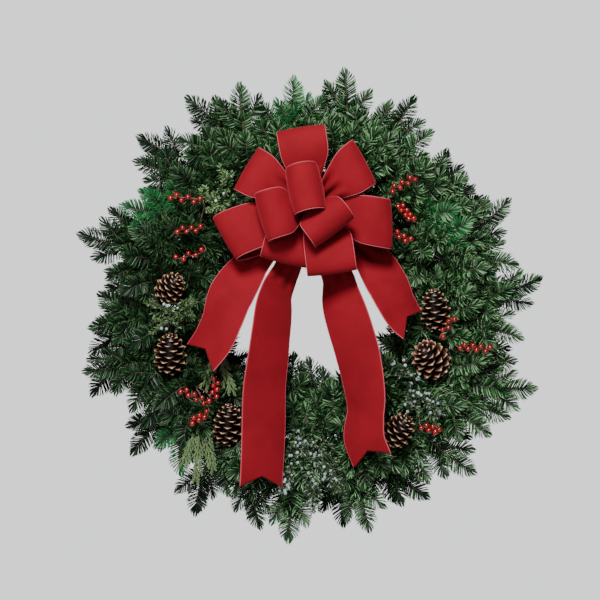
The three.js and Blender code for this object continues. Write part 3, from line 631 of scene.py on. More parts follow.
@dataclass(frozen=True)
class LeafFinish:
    """Waxy leaves: a dark and a light green by tone, pale along the edges and fresh green on new growth;
    painted shade darkens each leaf towards its root, and the pale edges are partly their own colour and
    partly painted highlight.
    """

    name: str
    deep: Colour
    light: Colour
    pale: Colour
    fresh: Colour
    tip: Colour
    pale_and_highlight_share: float
    roughness: float = 0.42
    gloss: float = 0.5
    grain: float = 260.0
    bump: float = 0.25

    def material(self) -> Material:
        """Builds the material.

        Returns:
            The material.
        """
        bench = Bench(self.name)
        tone, height, edge, fresh = bench.growth()
        patches = bench.mottle(self.grain, self.bump)
        # the needles' tone carries painted shade, darker deep in the wreath and at its left
        colour = bench.blend(tone, self.deep, self.light)
        colour = bench.blend(fresh, colour, self.fresh)
        # pale edge: partly the leaves' own pale bands, partly painted highlight
        share = bench.node("ShaderNodeMath", operation="MULTIPLY")
        bench.feed(share.inputs[0], bench.ramp(edge, (0.45, 1.0), (0.0, self.pale_and_highlight_share)))
        bench.feed(share.inputs[1], bench.ramp(patches, (0.35, 0.6), (0.55, 1.0)))
        colour = bench.blend(share.outputs[0], colour, self.pale)
        colour = bench.blend(bench.ramp(height, (0.9, 1.0), (0.0, 0.6)), colour, self.tip)
        # painted shade: each leaf darker towards its root by the stem
        shade = bench.ramp(height, (0.0, 0.6), (0.3, 1.0))
        colour = bench.blend(1.0, colour, shade, Mix.SHADE)
        return bench.finish(colour, Roughness=self.roughness, Specular_IOR_Level=self.gloss)


@dataclass(frozen=True)
class WoodyFinish:
    """Bark or cone scales: a dark body that turns to a paler colour along the edges; on cone scales the
    near-black towards the root is painted shade deep in the cone.
    """

    name: str
    dark: Colour
    body: Colour
    edge: Colour
    roughness: float
    grain: float
    bump: float = 0.5

    def material(self) -> Material:
        """Builds the material.

        Returns:
            The material.
        """
        bench = Bench(self.name)
        tone, height, edge, _ = bench.growth()
        patches = bench.mottle(self.grain, self.bump)
        # by height; on cone scales the near-black root is painted shade deep in the cone
        colour = bench.blend(height, self.dark, self.body)
        colour = bench.blend(bench.ramp(edge, (0.5, 0.95)), colour, self.edge)
        colour = bench.blend(1.0, colour, bench.ramp(patches, (0.3, 0.65), (0.6, 1.1)), Mix.SHADE)
        colour = bench.blend(1.0, colour, bench.ramp(tone, (0.0, 1.0), (0.7, 1.15)), Mix.SHADE)
        return bench.finish(colour, Roughness=self.roughness)


@dataclass(frozen=True)
class BerryFinish:
    """A smooth berry with a dark mark at its tip and a bloom of another colour."""

    name: str
    skin: Colour
    shade: Colour
    mark: Colour
    roughness: float
    coat: float
    grain: float = 420.0
    bump: float = 0.08

    def material(self) -> Material:
        """Builds the material.

        Returns:
            The material.
        """
        bench = Bench(self.name)
        tone, _, edge, _ = bench.growth()
        patches = bench.mottle(self.grain, self.bump)
        colour = bench.blend(tone, self.shade, self.skin)
        colour = bench.blend(bench.ramp(patches, (0.4, 0.7), (0.0, 0.35)), colour, self.shade)
        colour = bench.blend(bench.ramp(edge, (0.5, 0.9)), colour, self.mark)
        coat = {"Coat_Weight": self.coat, "Coat_Roughness": 0.08}
        return bench.finish(colour, Roughness=self.roughness, **coat)


@dataclass(frozen=True)
class VelvetFinish:
    """Short pile: a deep colour with soft patches where the pile lies another way, and a sheen."""

    name: str
    pile: Colour
    laid: Colour
    glow: Colour
    sheen: float
    roughness: float = 0.85
    gloss: float = 0.15
    grain: float = 2600.0

    def material(self) -> Material:
        """Builds the material.

        Returns:
            The material.
        """
        bench = Bench(self.name)
        patches = bench.mottle(self.grain, 0.35, 0.0002)
        place = bench.node("ShaderNodeTexCoord")
        lay = bench.node("ShaderNodeTexNoise")
        bench.feed(lay.inputs["Scale"], 26.0)
        bench.feed(lay.inputs["Vector"], place.outputs["Object"])
        colour = bench.blend(bench.ramp(lay.outputs["Fac"], (0.35, 0.65)), self.pile, self.laid)
        colour = bench.blend(1.0, colour, bench.ramp(patches, (0.25, 0.7), (0.82, 1.08)), Mix.SHADE)
        sheen = {"Sheen_Weight": self.sheen, "Sheen_Roughness": 0.4, "Sheen_Tint": self.glow}
        return bench.finish(colour, Roughness=self.roughness, Specular_IOR_Level=self.gloss, **sheen)


@dataclass(frozen=True)
class PlainFinish:
    """One colour with soft patches: satin thread, lacquered wire."""

    name: str
    colour: Colour
    worn: Colour
    roughness: float
    metallic: float
    grain: float
    bump: float = 0.2

    def material(self) -> Material:
        """Builds the material.

        Returns:
            The material.
        """
        bench = Bench(self.name)
        patches = bench.mottle(self.grain, self.bump, 0.0002)
        colour = bench.blend(bench.ramp(patches, (0.45, 0.7)), self.colour, self.worn)
        span = (self.roughness - 0.08, self.roughness + 0.08)
        rough = bench.ramp(patches, (0.3, 0.7), span)
        return bench.finish(colour, Roughness=rough, Metallic=self.metallic)


# The pale edge colours below are partly the leaves' own and partly painted highlight
FIR_LEAF = LeafFinish(
    "fir needles", deep=(0.0015, 0.009, 0.003), light=(0.026, 0.12, 0.028), pale=(0.33, 0.59, 0.29),
    fresh=(0.012, 0.12, 0.032), tip=(0.22, 0.3, 0.1), pale_and_highlight_share=0.7, roughness=0.34, gloss=0.3
)
JUNIPER_LEAF = LeafFinish(
    "juniper leaves", deep=(0.01, 0.03, 0.01), light=(0.055, 0.13, 0.045), pale=(0.45, 0.56, 0.38),
    fresh=(0.23, 0.4, 0.15), tip=(0.6, 0.7, 0.5), pale_and_highlight_share=0.6
)
CEDAR_LEAF = LeafFinish(
    "cedar scale leaves", deep=(0.04, 0.09, 0.03), light=(0.1, 0.18, 0.062), pale=(0.45, 0.55, 0.3),
    fresh=(0.3, 0.36, 0.1), tip=(0.6, 0.47, 0.27), pale_and_highlight_share=0.5
)
FIR_BARK = WoodyFinish(
    "fir bark", dark=(0.02, 0.014, 0.008), body=(0.07, 0.075, 0.03), edge=(0.12, 0.11, 0.05),
    roughness=0.75, grain=500.0
)
# Its near-black dark colour is painted shade between the cone's scales
CONE_SCALE = WoodyFinish(
    "cone scales", dark=(0.005, 0.002, 0.0012), body=(0.085, 0.024, 0.011), edge=(0.72, 0.45, 0.28),
    roughness=0.42, grain=320.0
)
TWIG = WoodyFinish(
    "berry twigs", dark=(0.06, 0.03, 0.02), body=(0.2, 0.12, 0.08), edge=(0.35, 0.27, 0.2),
    roughness=0.7, grain=600.0
)
RED_BERRY = BerryFinish(
    "red berries", skin=(0.29, 0.006, 0.008), shade=(0.13, 0.003, 0.005), mark=(0.02, 0.006, 0.004),
    roughness=0.2, coat=0.7
)
JUNIPER_BERRY = BerryFinish(
    "juniper berries", skin=(0.42, 0.52, 0.46), shade=(0.2, 0.28, 0.27), mark=(0.1, 0.12, 0.12),
    roughness=0.4, coat=0.2
)
VELVET = VelvetFinish(
    "red velvet", pile=(0.19, 0.0035, 0.009), laid=(0.22, 0.0045, 0.011), glow=(1.0, 0.1, 0.15),
    sheen=0.36
)
SELVAGE = PlainFinish(
    "satin selvage", colour=(0.42, 0.05, 0.07), worn=(0.52, 0.09, 0.11), roughness=0.75, metallic=0.0,
    grain=900.0
)
WIRE = PlainFinish(
    "lacquered wire", colour=(0.05, 0.075, 0.045), worn=(0.16, 0.17, 0.14), roughness=0.4, metallic=0.6,
    grain=380.0
)


# ---- What the foliage keeps clear of ----


@dataclass
class Cover:
    """Round patches, seen from the front, that foliage stays behind: ribbon, cones and berries."""

    patches: list[Array] = field(default_factory=list)
    open_depth: float = -1000.0  # the limit where no patch lies over a point

    def add(self, points: Array, radius: float) -> None:
        """Adds patches at the depth of the given points."""
        points = points.reshape(-1, 3)
        self.patches.append(np.column_stack((points, np.full(len(points), radius))))

    def limit(self, points: Array) -> Array:
        """Finds how far back foliage has to stay.

        Args:
            points: Points of the foliage, one a row.

        Returns:
            The depth that each point has to stay behind: the rearmost patch over it.
        """
        table = np.vstack(self.patches)
        apart = (points[:, None, 0] - table[None, :, 0]) ** 2 + (points[:, None, 2] - table[None, :, 2]) ** 2
        over = apart < table[None, :, 3] ** 2
        return np.where(over, table[None, :, 1], self.open_depth).max(axis=1)


# ---- Twigs ----

CURVE_STEPS = 33
BARK_ROWS = 8


@dataclass(frozen=True)
class Stem:
    """A thin stem along the quadratic curve from start past bend to end, facing one way.

    It tapers from the radius thick to the radius slim and has no needles over the length bare. Fresh is
    its share of new growth, and a hidden one only closes the ground between others.
    """

    start: Array
    bend: Array
    end: Array
    facing: Array
    thick: float
    slim: float
    bare: float
    fresh: float = 0.0
    hidden: bool = False

    def at(self, t: Array) -> tuple[Array, Array]:
        """Finds places on the curve: (1-t)^2 start + 2t(1-t) bend + t^2 end, and its slope.

        Args:
            t: Places from 0 at the start to 1 at the end.

        Returns:
            Points and runs, one a row.
        """
        t = np.asarray(t, float)[:, None]
        points = (1 - t) ** 2 * self.start + 2 * t * (1 - t) * self.bend + t**2 * self.end
        runs = 2 * (1 - t) * (self.bend - self.start) + 2 * t * (self.end - self.bend)
        return points, unit(runs)

    def places(self, distances: Array) -> tuple[Array, float]:
        """Measures the curve in short steps.

        Args:
            distances: Distances along the curve.

        Returns:
            Places for the distances, and the curve's length.
        """
        steps = np.linspace(0, 1, CURVE_STEPS)
        points, _ = self.at(steps)
        gone = np.concatenate(((0.0,), np.cumsum(np.linalg.norm(np.diff(points, axis=0), axis=1))))
        return np.interp(distances, gone, steps), float(gone[-1])

    def length(self) -> float:
        """The curve's length."""
        return self.places(np.zeros(1))[1]


@dataclass(frozen=True)
class NeedleHabit:
    """How needles stand on a stem; lengths in mm and angles in degrees.

    They spread from the stem by one angle along it and by another at its tip, in ranks raised off the
    spray's plane, and are rolled about their own length. A play is how far single needles differ.
    """

    length: float
    width: float
    spacing: float
    spread: float
    tip_spread: float
    ranks: tuple[float, ...]
    roll: float
    curve: float
    blunt: bool = True
    crowding: float = 1.3  # above 1, needles stand closer towards a stem's tip
    tip_zone: float = 0.8  # how near the tip they change, as a share of their length
    tip_length: float = 0.76
    rank_play: float = 6.0
    spread_play: float = 4.0
    length_play: Span = (0.88, 1.06)
    width_play: Span = (0.85, 1.15)


# A needle's points are three at its root, three at its shoulder and one at its tip
NEEDLE_FACETS = Facets(
    7,
    np.array(((0, 1, 4, 3), (1, 2, 5, 4), (2, 0, 3, 5))),
    np.array(((3, 4, 6), (4, 5, 6), (5, 3, 6), (0, 2, 1))),
)
SLIVER_FACETS = Facets(4, NO_QUADS, np.array(((0, 1, 3), (1, 2, 3), (2, 0, 3), (0, 2, 1))))
SLIVER_POINTS = np.array((0, 1, 2, 6))
# A needle point's height sets its painted shade at the root and its tip colour
NEEDLE_HEIGHT = np.array((0.0, 0.0, 0.0, 0.8, 0.8, 0.8, 1.0))
# Weights of the silver bands and painted highlight at each needle point
NEEDLE_SILVER_AND_HIGHLIGHT = np.array((0.7, 0.7, 1.0, 0.8, 0.8, 1.0, 1.0))


@dataclass(frozen=True)
class NeedleToneAndShade:
    """How foliage is toned: darker in the depth of the wreath and at its left by painted shade, as the
    photograph shows.

    A few needles are light and most are dark, by a draw from dimmest to 1 to the power of contrast. The
    silver line along a needle's edge, partly its own silver bands and partly painted highlight, comes in over
    its own band of another draw and is dimmed by the same painted shade.
    """

    deepest: float = -12.0
    front_lift: float = 50.0
    depth_shade_share: float = 0.34
    side_shade_band: Span = (-200.0, 20.0)
    side_shade_share: float = 0.5
    dimmest: float = 0.1
    contrast: float = 2.8
    silver_and_highlight_band: Span = (0.4, 0.82)

    def looks(self, tips: Array, fresh: float, draw: Draws) -> Array:
        """Tints needles by where their tips are.

        Args:
            tips: Their tips, one a row.
            fresh: Their share of new growth.
            draw: Seeded draws.

        Returns:
            A tint for each point of each needle, as (needles, 7, 4).
        """
        count = len(tips)
        look = np.zeros((count, NEEDLE_FACETS.size, 4))
        # painted shade: darker the deeper a needle's tip lies in the wreath
        front = self.depth_shade_share + (1 - self.depth_shade_share) * ease((self.deepest - tips[:, 1]) / self.front_lift)
        left, right = self.side_shade_band
        # painted shade: darker towards the wreath's left
        side = self.side_shade_share + (1 - self.side_shade_share) * ease((tips[:, 0] - left) / (right - left))
        look[..., 0] = (side * front * draw.uniform(self.dimmest, 1, count) ** self.contrast)[:, None]
        look[..., 1] = NEEDLE_HEIGHT
        low, high = self.silver_and_highlight_band
        # silver bands and painted highlight, dimmed by the painted shade
        silver = ease((draw.uniform(0, 1, count) - low) / (high - low)) * front * np.sqrt(side)
        look[..., 2] = silver[:, None] * NEEDLE_SILVER_AND_HIGHLIGHT
        look[..., 3] = fresh
        return look


NEEDLE_TONE_AND_SHADE = NeedleToneAndShade()

FEWEST_NEEDLES = 3
FIRST_NEEDLE = 0.7  # its place in the first needle's share of the stem
COVER_GAP = 1.0
# As shares of a needle's width: half its root, its root's ridge, half its shoulder and its ridge there
ROOT_HALF, ROOT_RIDGE, SHOULDER_HALF, SHOULDER_RIDGE = 0.36, 0.24, 0.5, 0.26
SHOULDER = 0.8  # where the shoulder is, as a share of the needle's length
SHOULDER_CURVE = 0.2  # how far the shoulder follows the tip's curve


def needle_frames(stem: Stem, habit: NeedleHabit, draw: Draws) -> Optional[tuple[Array, ...]]:
    """Where the needles of a stem stand.

    They stand left and right in turn, in ranks raised by different angles off the spray's plane, and look
    evenly spread from above it. They lean forward more towards the tip, where they are also shorter.
    Their flat side faces up.

    Args:
        stem: The stem.
        habit: How its needles stand.
        draw: Seeded draws.

    Returns:
        Roots, ways, widths' ways, forward ways and lengths, or None if there is no room for any.
    """
    length = stem.length()
    count = int((length - stem.bare) / habit.spacing)
    if count < FEWEST_NEEDLES:
        return None
    order = np.arange(count)
    left_over = (1 - (order + FIRST_NEEDLE) / count) ** habit.crowding
    distance = length - (length - stem.bare) * left_over
    t, _ = stem.places(distance)
    roots, runs = stem.at(t)
    up = square_to(runs, np.broadcast_to(stem.facing, roots.shape))
    side = np.cross(runs, up)
    rank = np.array(habit.ranks)[(order // 2) % len(habit.ranks)]
    raised = np.radians(rank + draw.uniform(-habit.rank_play, habit.rank_play, count))
    sign = np.where(order % 2, 1.0, -1.0)
    out = sign[:, None] * side + np.tan(raised)[:, None] * up
    near_tip = ease((length - distance) / (habit.tip_zone * habit.length))
    spread = habit.tip_spread + (habit.spread - habit.tip_spread) * near_tip
    spread = np.radians(spread + draw.uniform(-habit.spread_play, habit.spread_play, count))
    ways = unit(np.cos(spread)[:, None] * runs + np.sin(spread)[:, None] * out)
    forward = square_to(ways, runs)
    wide = turned(forward, ways, np.radians(draw.uniform(-habit.roll, habit.roll, count)))
    wide = wide * np.where(np.sum(np.cross(ways, wide) * up, axis=1) < 0, -1.0, 1.0)[:, None]
    shorter = habit.tip_length + (1 - habit.tip_length) * near_tip
    lengths = habit.length * shorter * draw.uniform(*habit.length_play, count)
    return roots, ways, wide, forward, lengths


def add_needles(draft: Draft, stem: Stem, habit: NeedleHabit, draw: Draws, cover: Cover) -> None:
    """Adds three-sided needles, each with a flat underside and a low ridge above, that bend to a point.

    A blunt needle is widest at its shoulder and comes to a short point; its shoulder is set back and its
    tip forward by the curve. A plain one tapers all the way from its root.

    Args:
        draft: The mesh.
        stem: The stem they stand on.
        habit: How they stand.
        draw: Seeded draws.
        cover: What their tips stay behind.
    """
    frames = needle_frames(stem, habit, draw)
    if frames is None:
        return
    roots, ways, wide, forward, lengths = frames
    tips = roots + ways * lengths[:, None] + forward * (habit.curve * lengths)[:, None]
    keep = tips[:, 1] > cover.limit(tips) + COVER_GAP
    roots, ways, wide, forward, lengths, tips = (
        values[keep] for values in (roots, ways, wide, forward, lengths, tips)
    )
    if not len(roots):
        return
    width = habit.width * draw.uniform(*habit.width_play, len(roots))[:, None]
    thick = np.cross(ways, wide)
    bent = SHOULDER_CURVE * (habit.curve * lengths)[:, None] * forward
    shoulders = roots + SHOULDER * lengths[:, None] * ways + bent
    corners = (
        roots - ROOT_HALF * width * wide,
        roots + ROOT_HALF * width * wide,
        roots + ROOT_RIDGE * width * thick,
        shoulders - SHOULDER_HALF * width * wide,
        shoulders + SHOULDER_HALF * width * wide,
        shoulders + SHOULDER_RIDGE * width * thick,
        tips,
    )
    points = np.stack(corners, axis=1)
    points[..., 1] = np.minimum(points[..., 1], BACK_PLANE)
    look = NEEDLE_TONE_AND_SHADE.looks(tips, stem.fresh, draw)
    if habit.blunt:
        draft.add(points, NEEDLE_FACETS, look)
    else:
        draft.add(points[:, SLIVER_POINTS], SLIVER_FACETS, look[:, SLIVER_POINTS])


def add_bark(draft: Draft, stem: Stem, sides: int = 6) -> None:
    """Adds the stem itself, a tube that tapers evenly to its tip.

    Args:
        draft: The mesh.
        stem: The stem.
        sides: Points round it.
    """
    t = np.linspace(0, 1, BARK_ROWS)
    line, _ = stem.at(t)
    line[:, 1] = np.minimum(line[:, 1], BACK_PLANE - stem.slim)
    radii = stem.thick + (stem.slim - stem.thick) * t
    add_tube(draft, line, radii, sides, stem.facing, BARK_LOOK, Part.STEM)


# ---- Fir bundles ----


class Layer(Enum):
    """Depth of a rim spray."""

    BACK = -30.0
    MIDDLE = -48.0
    FRONT = -66.0


LAYERS = (Layer.BACK, Layer.MIDDLE, Layer.FRONT)

# Outer sprays of the rim: angle of the tip, its reach, sideways lean in degrees, layer from the back
RIM_SPRAYS = (
    (6, 310, 20, 1), (11, 280, -25, 2), (27, 300, 20, 1), (29, 260, 20, 2), (36, 265, -25, 1),
    (42, 275, -5, 0), (47, 265, 5, 1), (55, 280, -20, 2), (63, 310, -5, 0), (68, 290, -5, 1),
    (81, 315, 15, 1), (85, 285, 25, 0), (87, 275, -35, 2), (94, 300, -5, 2), (103, 275, 30, 1),
    (108, 305, -15, 2), (114, 300, -10, 0), (120, 320, 20, 1), (128, 280, 40, 2), (135, 320, 15, 0),
    (140, 300, 20, 1), (146, 270, 5, 1), (152, 280, 15, 2), (155, 295, -20, 0), (163, 320, 0, 1),
    (172, 270, 35, 2), (178, 280, -30, 1), (186, 290, 5, 2), (192, 300, 25, 0), (197, 310, -10, 2),
    (202, 315, 30, 0), (210, 275, 35, 2), (220, 310, 15, 0), (232, 285, 45, 1), (241, 320, 20, 0),
    (246, 275, 40, 2), (257, 305, 30, 1), (265, 315, 0, 2), (279, 300, -5, 0), (285, 310, 0, 2),
    (294, 290, 0, 0), (301, 305, 25, 0), (304, 285, -10, 2), (314, 315, 15, 1), (320, 280, 10, 0),
    (324, 295, 0, 2), (330, 305, 10, 1), (339, 320, 25, 2), (344, 285, 20, 1), (351, 285, -10, 2),
)
# Sprays that hang into the hole between the tails: angle of the tip, its reach, sideways lean
INNER_SPRAYS = ((247, 84, -12), (255, 78, 8), (263, 88, -6), (271, 82, 14), (281, 96, 0))
# Low sprays that close gaps beside the bow: angle of the tip, its reach, sideways lean
BACKING_SPRAYS = (
    (140, 128, 20), (147, 112, -12), (152, 104, 8), (157, 116, -6), (163, 122, 14), (176, 128, -10),
    (14, 122, 12), (21, 114, -8), (27, 110, 10), (33, 118, -12), (55, 128, 10), (63, 116, -10),
)
# Middles of sprays of bright new growth, across and up
BRIGHT_SPOTS = np.array(((-25.0, 285.0), (-235.0, 130.0), (175.0, 150.0), (-165.0, -210.0), (200.0, 105.0)))


@dataclass(frozen=True)
class Filling:
    """Sprays that fill a bundle between those of the rim; a laid one lies along the ring."""

    count: int
    reach: tuple[float, float]
    turn: tuple[float, float]
    lean: tuple[float, float]
    bend_depth: tuple[float, float]
    tip_depth: tuple[float, float]
    bare: float
    laid: bool = False
    hidden: bool = False


FILLINGS = (
    Filling(4, (236, 272), (0, 10), (0, 22), (-34, -26), (-30, -18), 34),
    Filling(4, (232, 268), (0, 10), (0, 32), (-60, -45), (-58, -42), 30),
    Filling(5, (206, 248), (0, 10), (0, 40), (-84, -68), (-82, -64), 20),
    Filling(6, (150, 200), (6, 19), (60, 105), (-70, -56), (-86, -70), 8, laid=True),
    Filling(7, (144, 226), (3, 15), (40, 110), (-30, -24), (-44, -26), 4, laid=True, hidden=True),
    Filling(6, (160, 196), (5, 21), (70, 105), (-34, -20), (-48, -24), 0, laid=True, hidden=True),
    Filling(5, (114, 142), (0, 9), (0, 35), (-62, -40), (-62, -34), 10),
    Filling(7, (106, 146), (0, 9), (0, 34), (-32, -24), (-30, -18), 10, hidden=True),
)


@dataclass
class FirBundles:
    """Cut bunches of fir tips, one in each clamp of the ring.

    Lengths and depths are in mm and angles in degrees; a pair of numbers is a range for a draw, or a
    value at the bend and one at the tip.
    """

    cover: Cover
    bundles: int = 18
    seed: int = 2024
    backing_seed: int = 3000
    habit: NeedleHabit = NeedleHabit(
        length=18.0, width=1.4, spacing=0.42, spread=66.0, tip_spread=10.0,
        ranks=(22.0, -6.0, 38.0, 8.0, -14.0, 52.0, 28.0), roll=34.0, curve=0.1
    )
    hidden_habit: NeedleHabit = NeedleHabit(
        length=18.0, width=3.4, spacing=0.7, spread=62.0, tip_spread=24.0, ranks=(20.0, -10.0, 36.0),
        roll=30.0, curve=0.12, blunt=False
    )
    stem_thick: float = 1.7
    stem_slim: float = 0.8
    bend_shares: Span = (0.6, 0.42)  # of the way out and of the whole way, before the tip
    cover_gaps: Span = (14.0, 12.0)
    bright_reach: float = 26.0
    tilt: float = 30.0
    rim_bare: float = 30.0
    inner_depths: Span = (-44.0, -30.0)
    inner_bare: float = 12.0
    backing_depths: Span = (-26.0, -22.0)
    backing_bare: float = 8.0
    shoots_at: tuple[Span, ...] = ((50.0, 36.0), (92.0, 46.0))  # distance from the tip, and length
    shoot_shift: Span = (-5.0, 5.0)
    shoot_angle: Span = (46.0, 58.0)
    shoot_rise: Span = (-0.2, 0.15)
    shoot_size: Span = (0.85, 1.1)
    shoot_bare: float = 3.0
    shoot_radii: Span = (0.8, 0.7)
    cut_length: Span = (0.86, 1.0)

    def stem(
        self, clamp: float, tip_angle: float, reach: float, heading: float, depths: Span, bare: float
    ) -> Stem:
        """A spray's stem from its clamp out to a tip, which it reaches on a given heading.

        Args:
            clamp: Angle of the clamp round the ring.
            tip_angle: Angle of the tip.
            reach: Distance of the tip from the ring's middle.
            heading: Angle of the stem's run at the tip.
            depths: Depth of the bend and of the tip.
            bare: Length without needles, from the clamp.

        Returns:
            The stem, kept behind what covers it.
        """
        tip = polar(tip_angle, reach, depths[1])
        way = polar(heading, 1.0, 0.0)
        apart = np.linalg.norm((tip - polar(clamp, RING_RADIUS, depths[1]))[[0, 2]])
        outward, whole = self.bend_shares
        bend = tip - way * max(outward * abs(reach - RING_RADIUS), whole * apart)
        bend[1] = depths[0]
        off = (math.degrees(math.atan2(bend[2], bend[0])) - clamp + 540) % 360 - 180
        most = math.degrees(0.4 * BUNCH_LENGTH / RING_RADIUS)
        start = polar(clamp + min(max(off, -most), most), RING_RADIUS, BUNCH_DEPTH)
        behind = self.cover.limit(np.stack((bend, tip, (bend + tip) / 2))).max()
        bend[1] = max(bend[1], behind + self.cover_gaps[0])
        tip[1] = max(tip[1], behind + self.cover_gaps[1])
        near = np.linalg.norm(BRIGHT_SPOTS - tip[[0, 2]], axis=1).min()
        fresh = float(near < self.bright_reach)
        return Stem(start, bend, tip, VIEWER, self.stem_thick, self.stem_slim, bare, fresh)

    def shoot(self, stem: Stem, from_tip: float, size: float, sign: int, draw: Draws) -> Stem:
        """A side shoot of a stem, swept forward and kept behind what covers it.

        Args:
            stem: The stem it grows on.
            from_tip: Its distance from the stem's tip.
            size: Its usual length.
            sign: Its side, 1 or -1.
            draw: Seeded draws.

        Returns:
            The shoot.
        """
        distance = stem.length() - from_tip + draw.uniform(*self.shoot_shift)
        t, _ = stem.places(np.array((distance,)))
        root, run = (values[0] for values in stem.at(t))
        up = square_to(run, stem.facing)
        side = sign * np.cross(run, up)
        angle = math.radians(draw.uniform(*self.shoot_angle))
        way = math.cos(angle) * run + math.sin(angle) * side + draw.uniform(*self.shoot_rise) * up
        reach = size * draw.uniform(*self.shoot_size)
        end = root + unit(way + 0.3 * run) * reach
        end[1] = max(end[1], float(self.cover.limit(end[None])[0]) + 10.0)
        thick = self.shoot_radii[0] * self.stem_thick
        slim = self.shoot_radii[1] * self.stem_slim
        return Stem(root, root + way * 0.5 * reach, end, up, thick, slim, self.shoot_bare, stem.fresh)

    def shoots(self, stem: Stem, draw: Draws) -> list[Stem]:
        """Side shoots in pairs left and right of a stem, at set distances from its tip."""
        rooms = [pair for pair in self.shoots_at if stem.length() - pair[0] >= 14.0]
        return [self.shoot(stem, *pair, sign, draw) for pair in rooms for sign in (1, -1)]

    def filler(self, clamp: float, fill: Filling, draw: Draws) -> Stem:
        """A spray drawn from a filling's ranges.

        Args:
            clamp: Angle of its clamp round the ring.
            fill: The filling.
            draw: Seeded draws.

        Returns:
            The spray's stem.
        """
        sign = coin(draw)
        angle = clamp + sign * draw.uniform(*fill.turn)
        reach = draw.uniform(*fill.reach)
        lean = draw.uniform(*fill.lean) * (sign if fill.laid else sign * coin(draw))
        inward = 180 if reach < RING_RADIUS and not fill.laid else 0
        depths = (draw.uniform(*fill.bend_depth), draw.uniform(*fill.tip_depth))
        stem = self.stem(clamp, angle, reach, angle + lean + inward, depths, fill.bare)
        return replace(stem, hidden=fill.hidden, fresh=0.0 if fill.hidden else stem.fresh)

    def tilted(self, stem: Stem, draw: Draws) -> Stem:
        """Turns a stem's spray a little off the viewer.

        Args:
            stem: The stem.
            draw: Seeded draws.

        Returns:
            The same stem, facing another way.
        """
        _, run = stem.at(np.array((0.8,)))
        angle = np.radians(draw.uniform(-self.tilt, self.tilt, 1))
        way = turned(square_to(run[0], VIEWER)[None], run, angle)[0]
        return replace(stem, facing=way)

    def bundle_at(self, angle: float) -> int:
        """The number of the bundle that is nearest to an angle round the ring."""
        return int(math.floor(angle * self.bundles / 360 + 0.5)) % self.bundles

    def plan(self, draw: Draws) -> list[list[Stem]]:
        """Plans the main stems of every bundle: those of the rim, those into the hole, then the filling.

        Args:
            draw: Seeded draws.

        Returns:
            A list of stems for each bundle.
        """
        pitch = 360 / self.bundles
        plan: list[list[Stem]] = [[] for _ in range(self.bundles)]
        for angle, reach, lean, layer in RIM_SPRAYS:
            index = self.bundle_at(angle - 0.25 * lean)
            depth = LAYERS[layer].value
            depths = (depth, 0.85 * depth)
            reach = reach - 5.0
            plan[index].append(self.stem(index * pitch, angle, reach, angle + lean, depths, self.rim_bare))
        for spray in INNER_SPRAYS:
            index = self.bundle_at(spray[0])
            plan[index].append(self.inward_stem(index, spray, self.inner_depths, self.inner_bare))
        for index, stems in enumerate(plan):
            for fill in FILLINGS:
                stems += [self.filler(index * pitch, fill, draw) for _ in range(fill.count)]
        return plan

    def inward_stem(self, index: int, spray: Sequence[float], depths: Span, bare: float) -> Stem:
        """A stem that leans into the hole."""
        angle, reach, lean = spray
        return self.stem(index * 360 / self.bundles, angle, reach, angle + lean + 180, depths, bare)

    def backing(self, index: int) -> list[Stem]:
        """Plans the low sprays of one bundle.

        Args:
            index: The bundle.

        Returns:
            Their stems.
        """
        mine = [spray for spray in BACKING_SPRAYS if self.bundle_at(spray[0]) == index]
        stems = [self.inward_stem(index, spray, self.backing_depths, self.backing_bare) for spray in mine]
        return [replace(stem, hidden=True, fresh=0.0) for stem in stems]

    def bunch(self, draft: Draft, clamp: float, draw: Draws) -> None:
        """Adds the cut stems that lie side by side in a clamp: one in the middle and six round it.

        Args:
            draft: The mesh.
            clamp: Angle of the clamp round the ring.
            draw: Seeded draws.
        """
        along = polar(clamp + 90, 1.0, 0.0)
        out = polar(clamp, 1.0, 0.0)
        middle = polar(clamp, RING_RADIUS, BUNCH_DEPTH)
        angles = np.arange(6) * math.pi / 3
        spots = [(0.0, 0.0)] + [(3.6 * math.cos(a), 3.6 * math.sin(a)) for a in angles]
        for across, deep in spots:
            reach = BUNCH_LENGTH / 2 * draw.uniform(*self.cut_length, 2)
            centre = middle + out * across + VIEWER * deep
            t = np.linspace(-1, 1, 7)[:, None]
            line = centre + along * np.where(t < 0, reach[0], reach[1]) * t
            add_tube(draft, line, 1.8, WIRE_SIDES, VIEWER, BARK_LOOK, Part.STEM)

    def spray(self, draft: Draft, stem: Stem, draw: Draws) -> None:
        """Adds a stem and its side shoots, with their needles.

        Args:
            draft: The mesh.
            stem: The main stem.
            draw: Seeded draws.
        """
        habit = self.hidden_habit if stem.hidden else self.habit
        for twig in (stem, *self.shoots(stem, draw)):
            add_bark(draft, twig)
            add_needles(draft, twig, habit, draw, self.cover)

    def build(self) -> None:
        """Builds one piece for each bundle."""
        draw = np.random.default_rng(self.seed)
        materials = [FIR_LEAF.material(), FIR_BARK.material()]
        for index, stems in enumerate(self.plan(draw)):
            draft = Draft()
            self.bunch(draft, index * 360 / self.bundles, draw)
            for stem in stems:
                self.spray(draft, self.tilted(stem, draw), draw)
            own_draw = np.random.default_rng(self.backing_seed + index)
            for stem in self.backing(index):
                self.spray(draft, stem, own_draw)
            node = f"fir_bundle_{index + 1:02d}"
            draft.to_piece(f"{node}_sprays", [node], materials)


# ---- Juniper ----


@dataclass(frozen=True)
class JuniperSpray:
    """A juniper spray: where its stem is hooked on the ring, its fork and the tips of its twigs."""

    ring_angle: float
    shift: float
    fork: tuple[float, float, float]
    tips: tuple[tuple[float, float, float], ...]
    berries: int
    fresh: float = 0.0


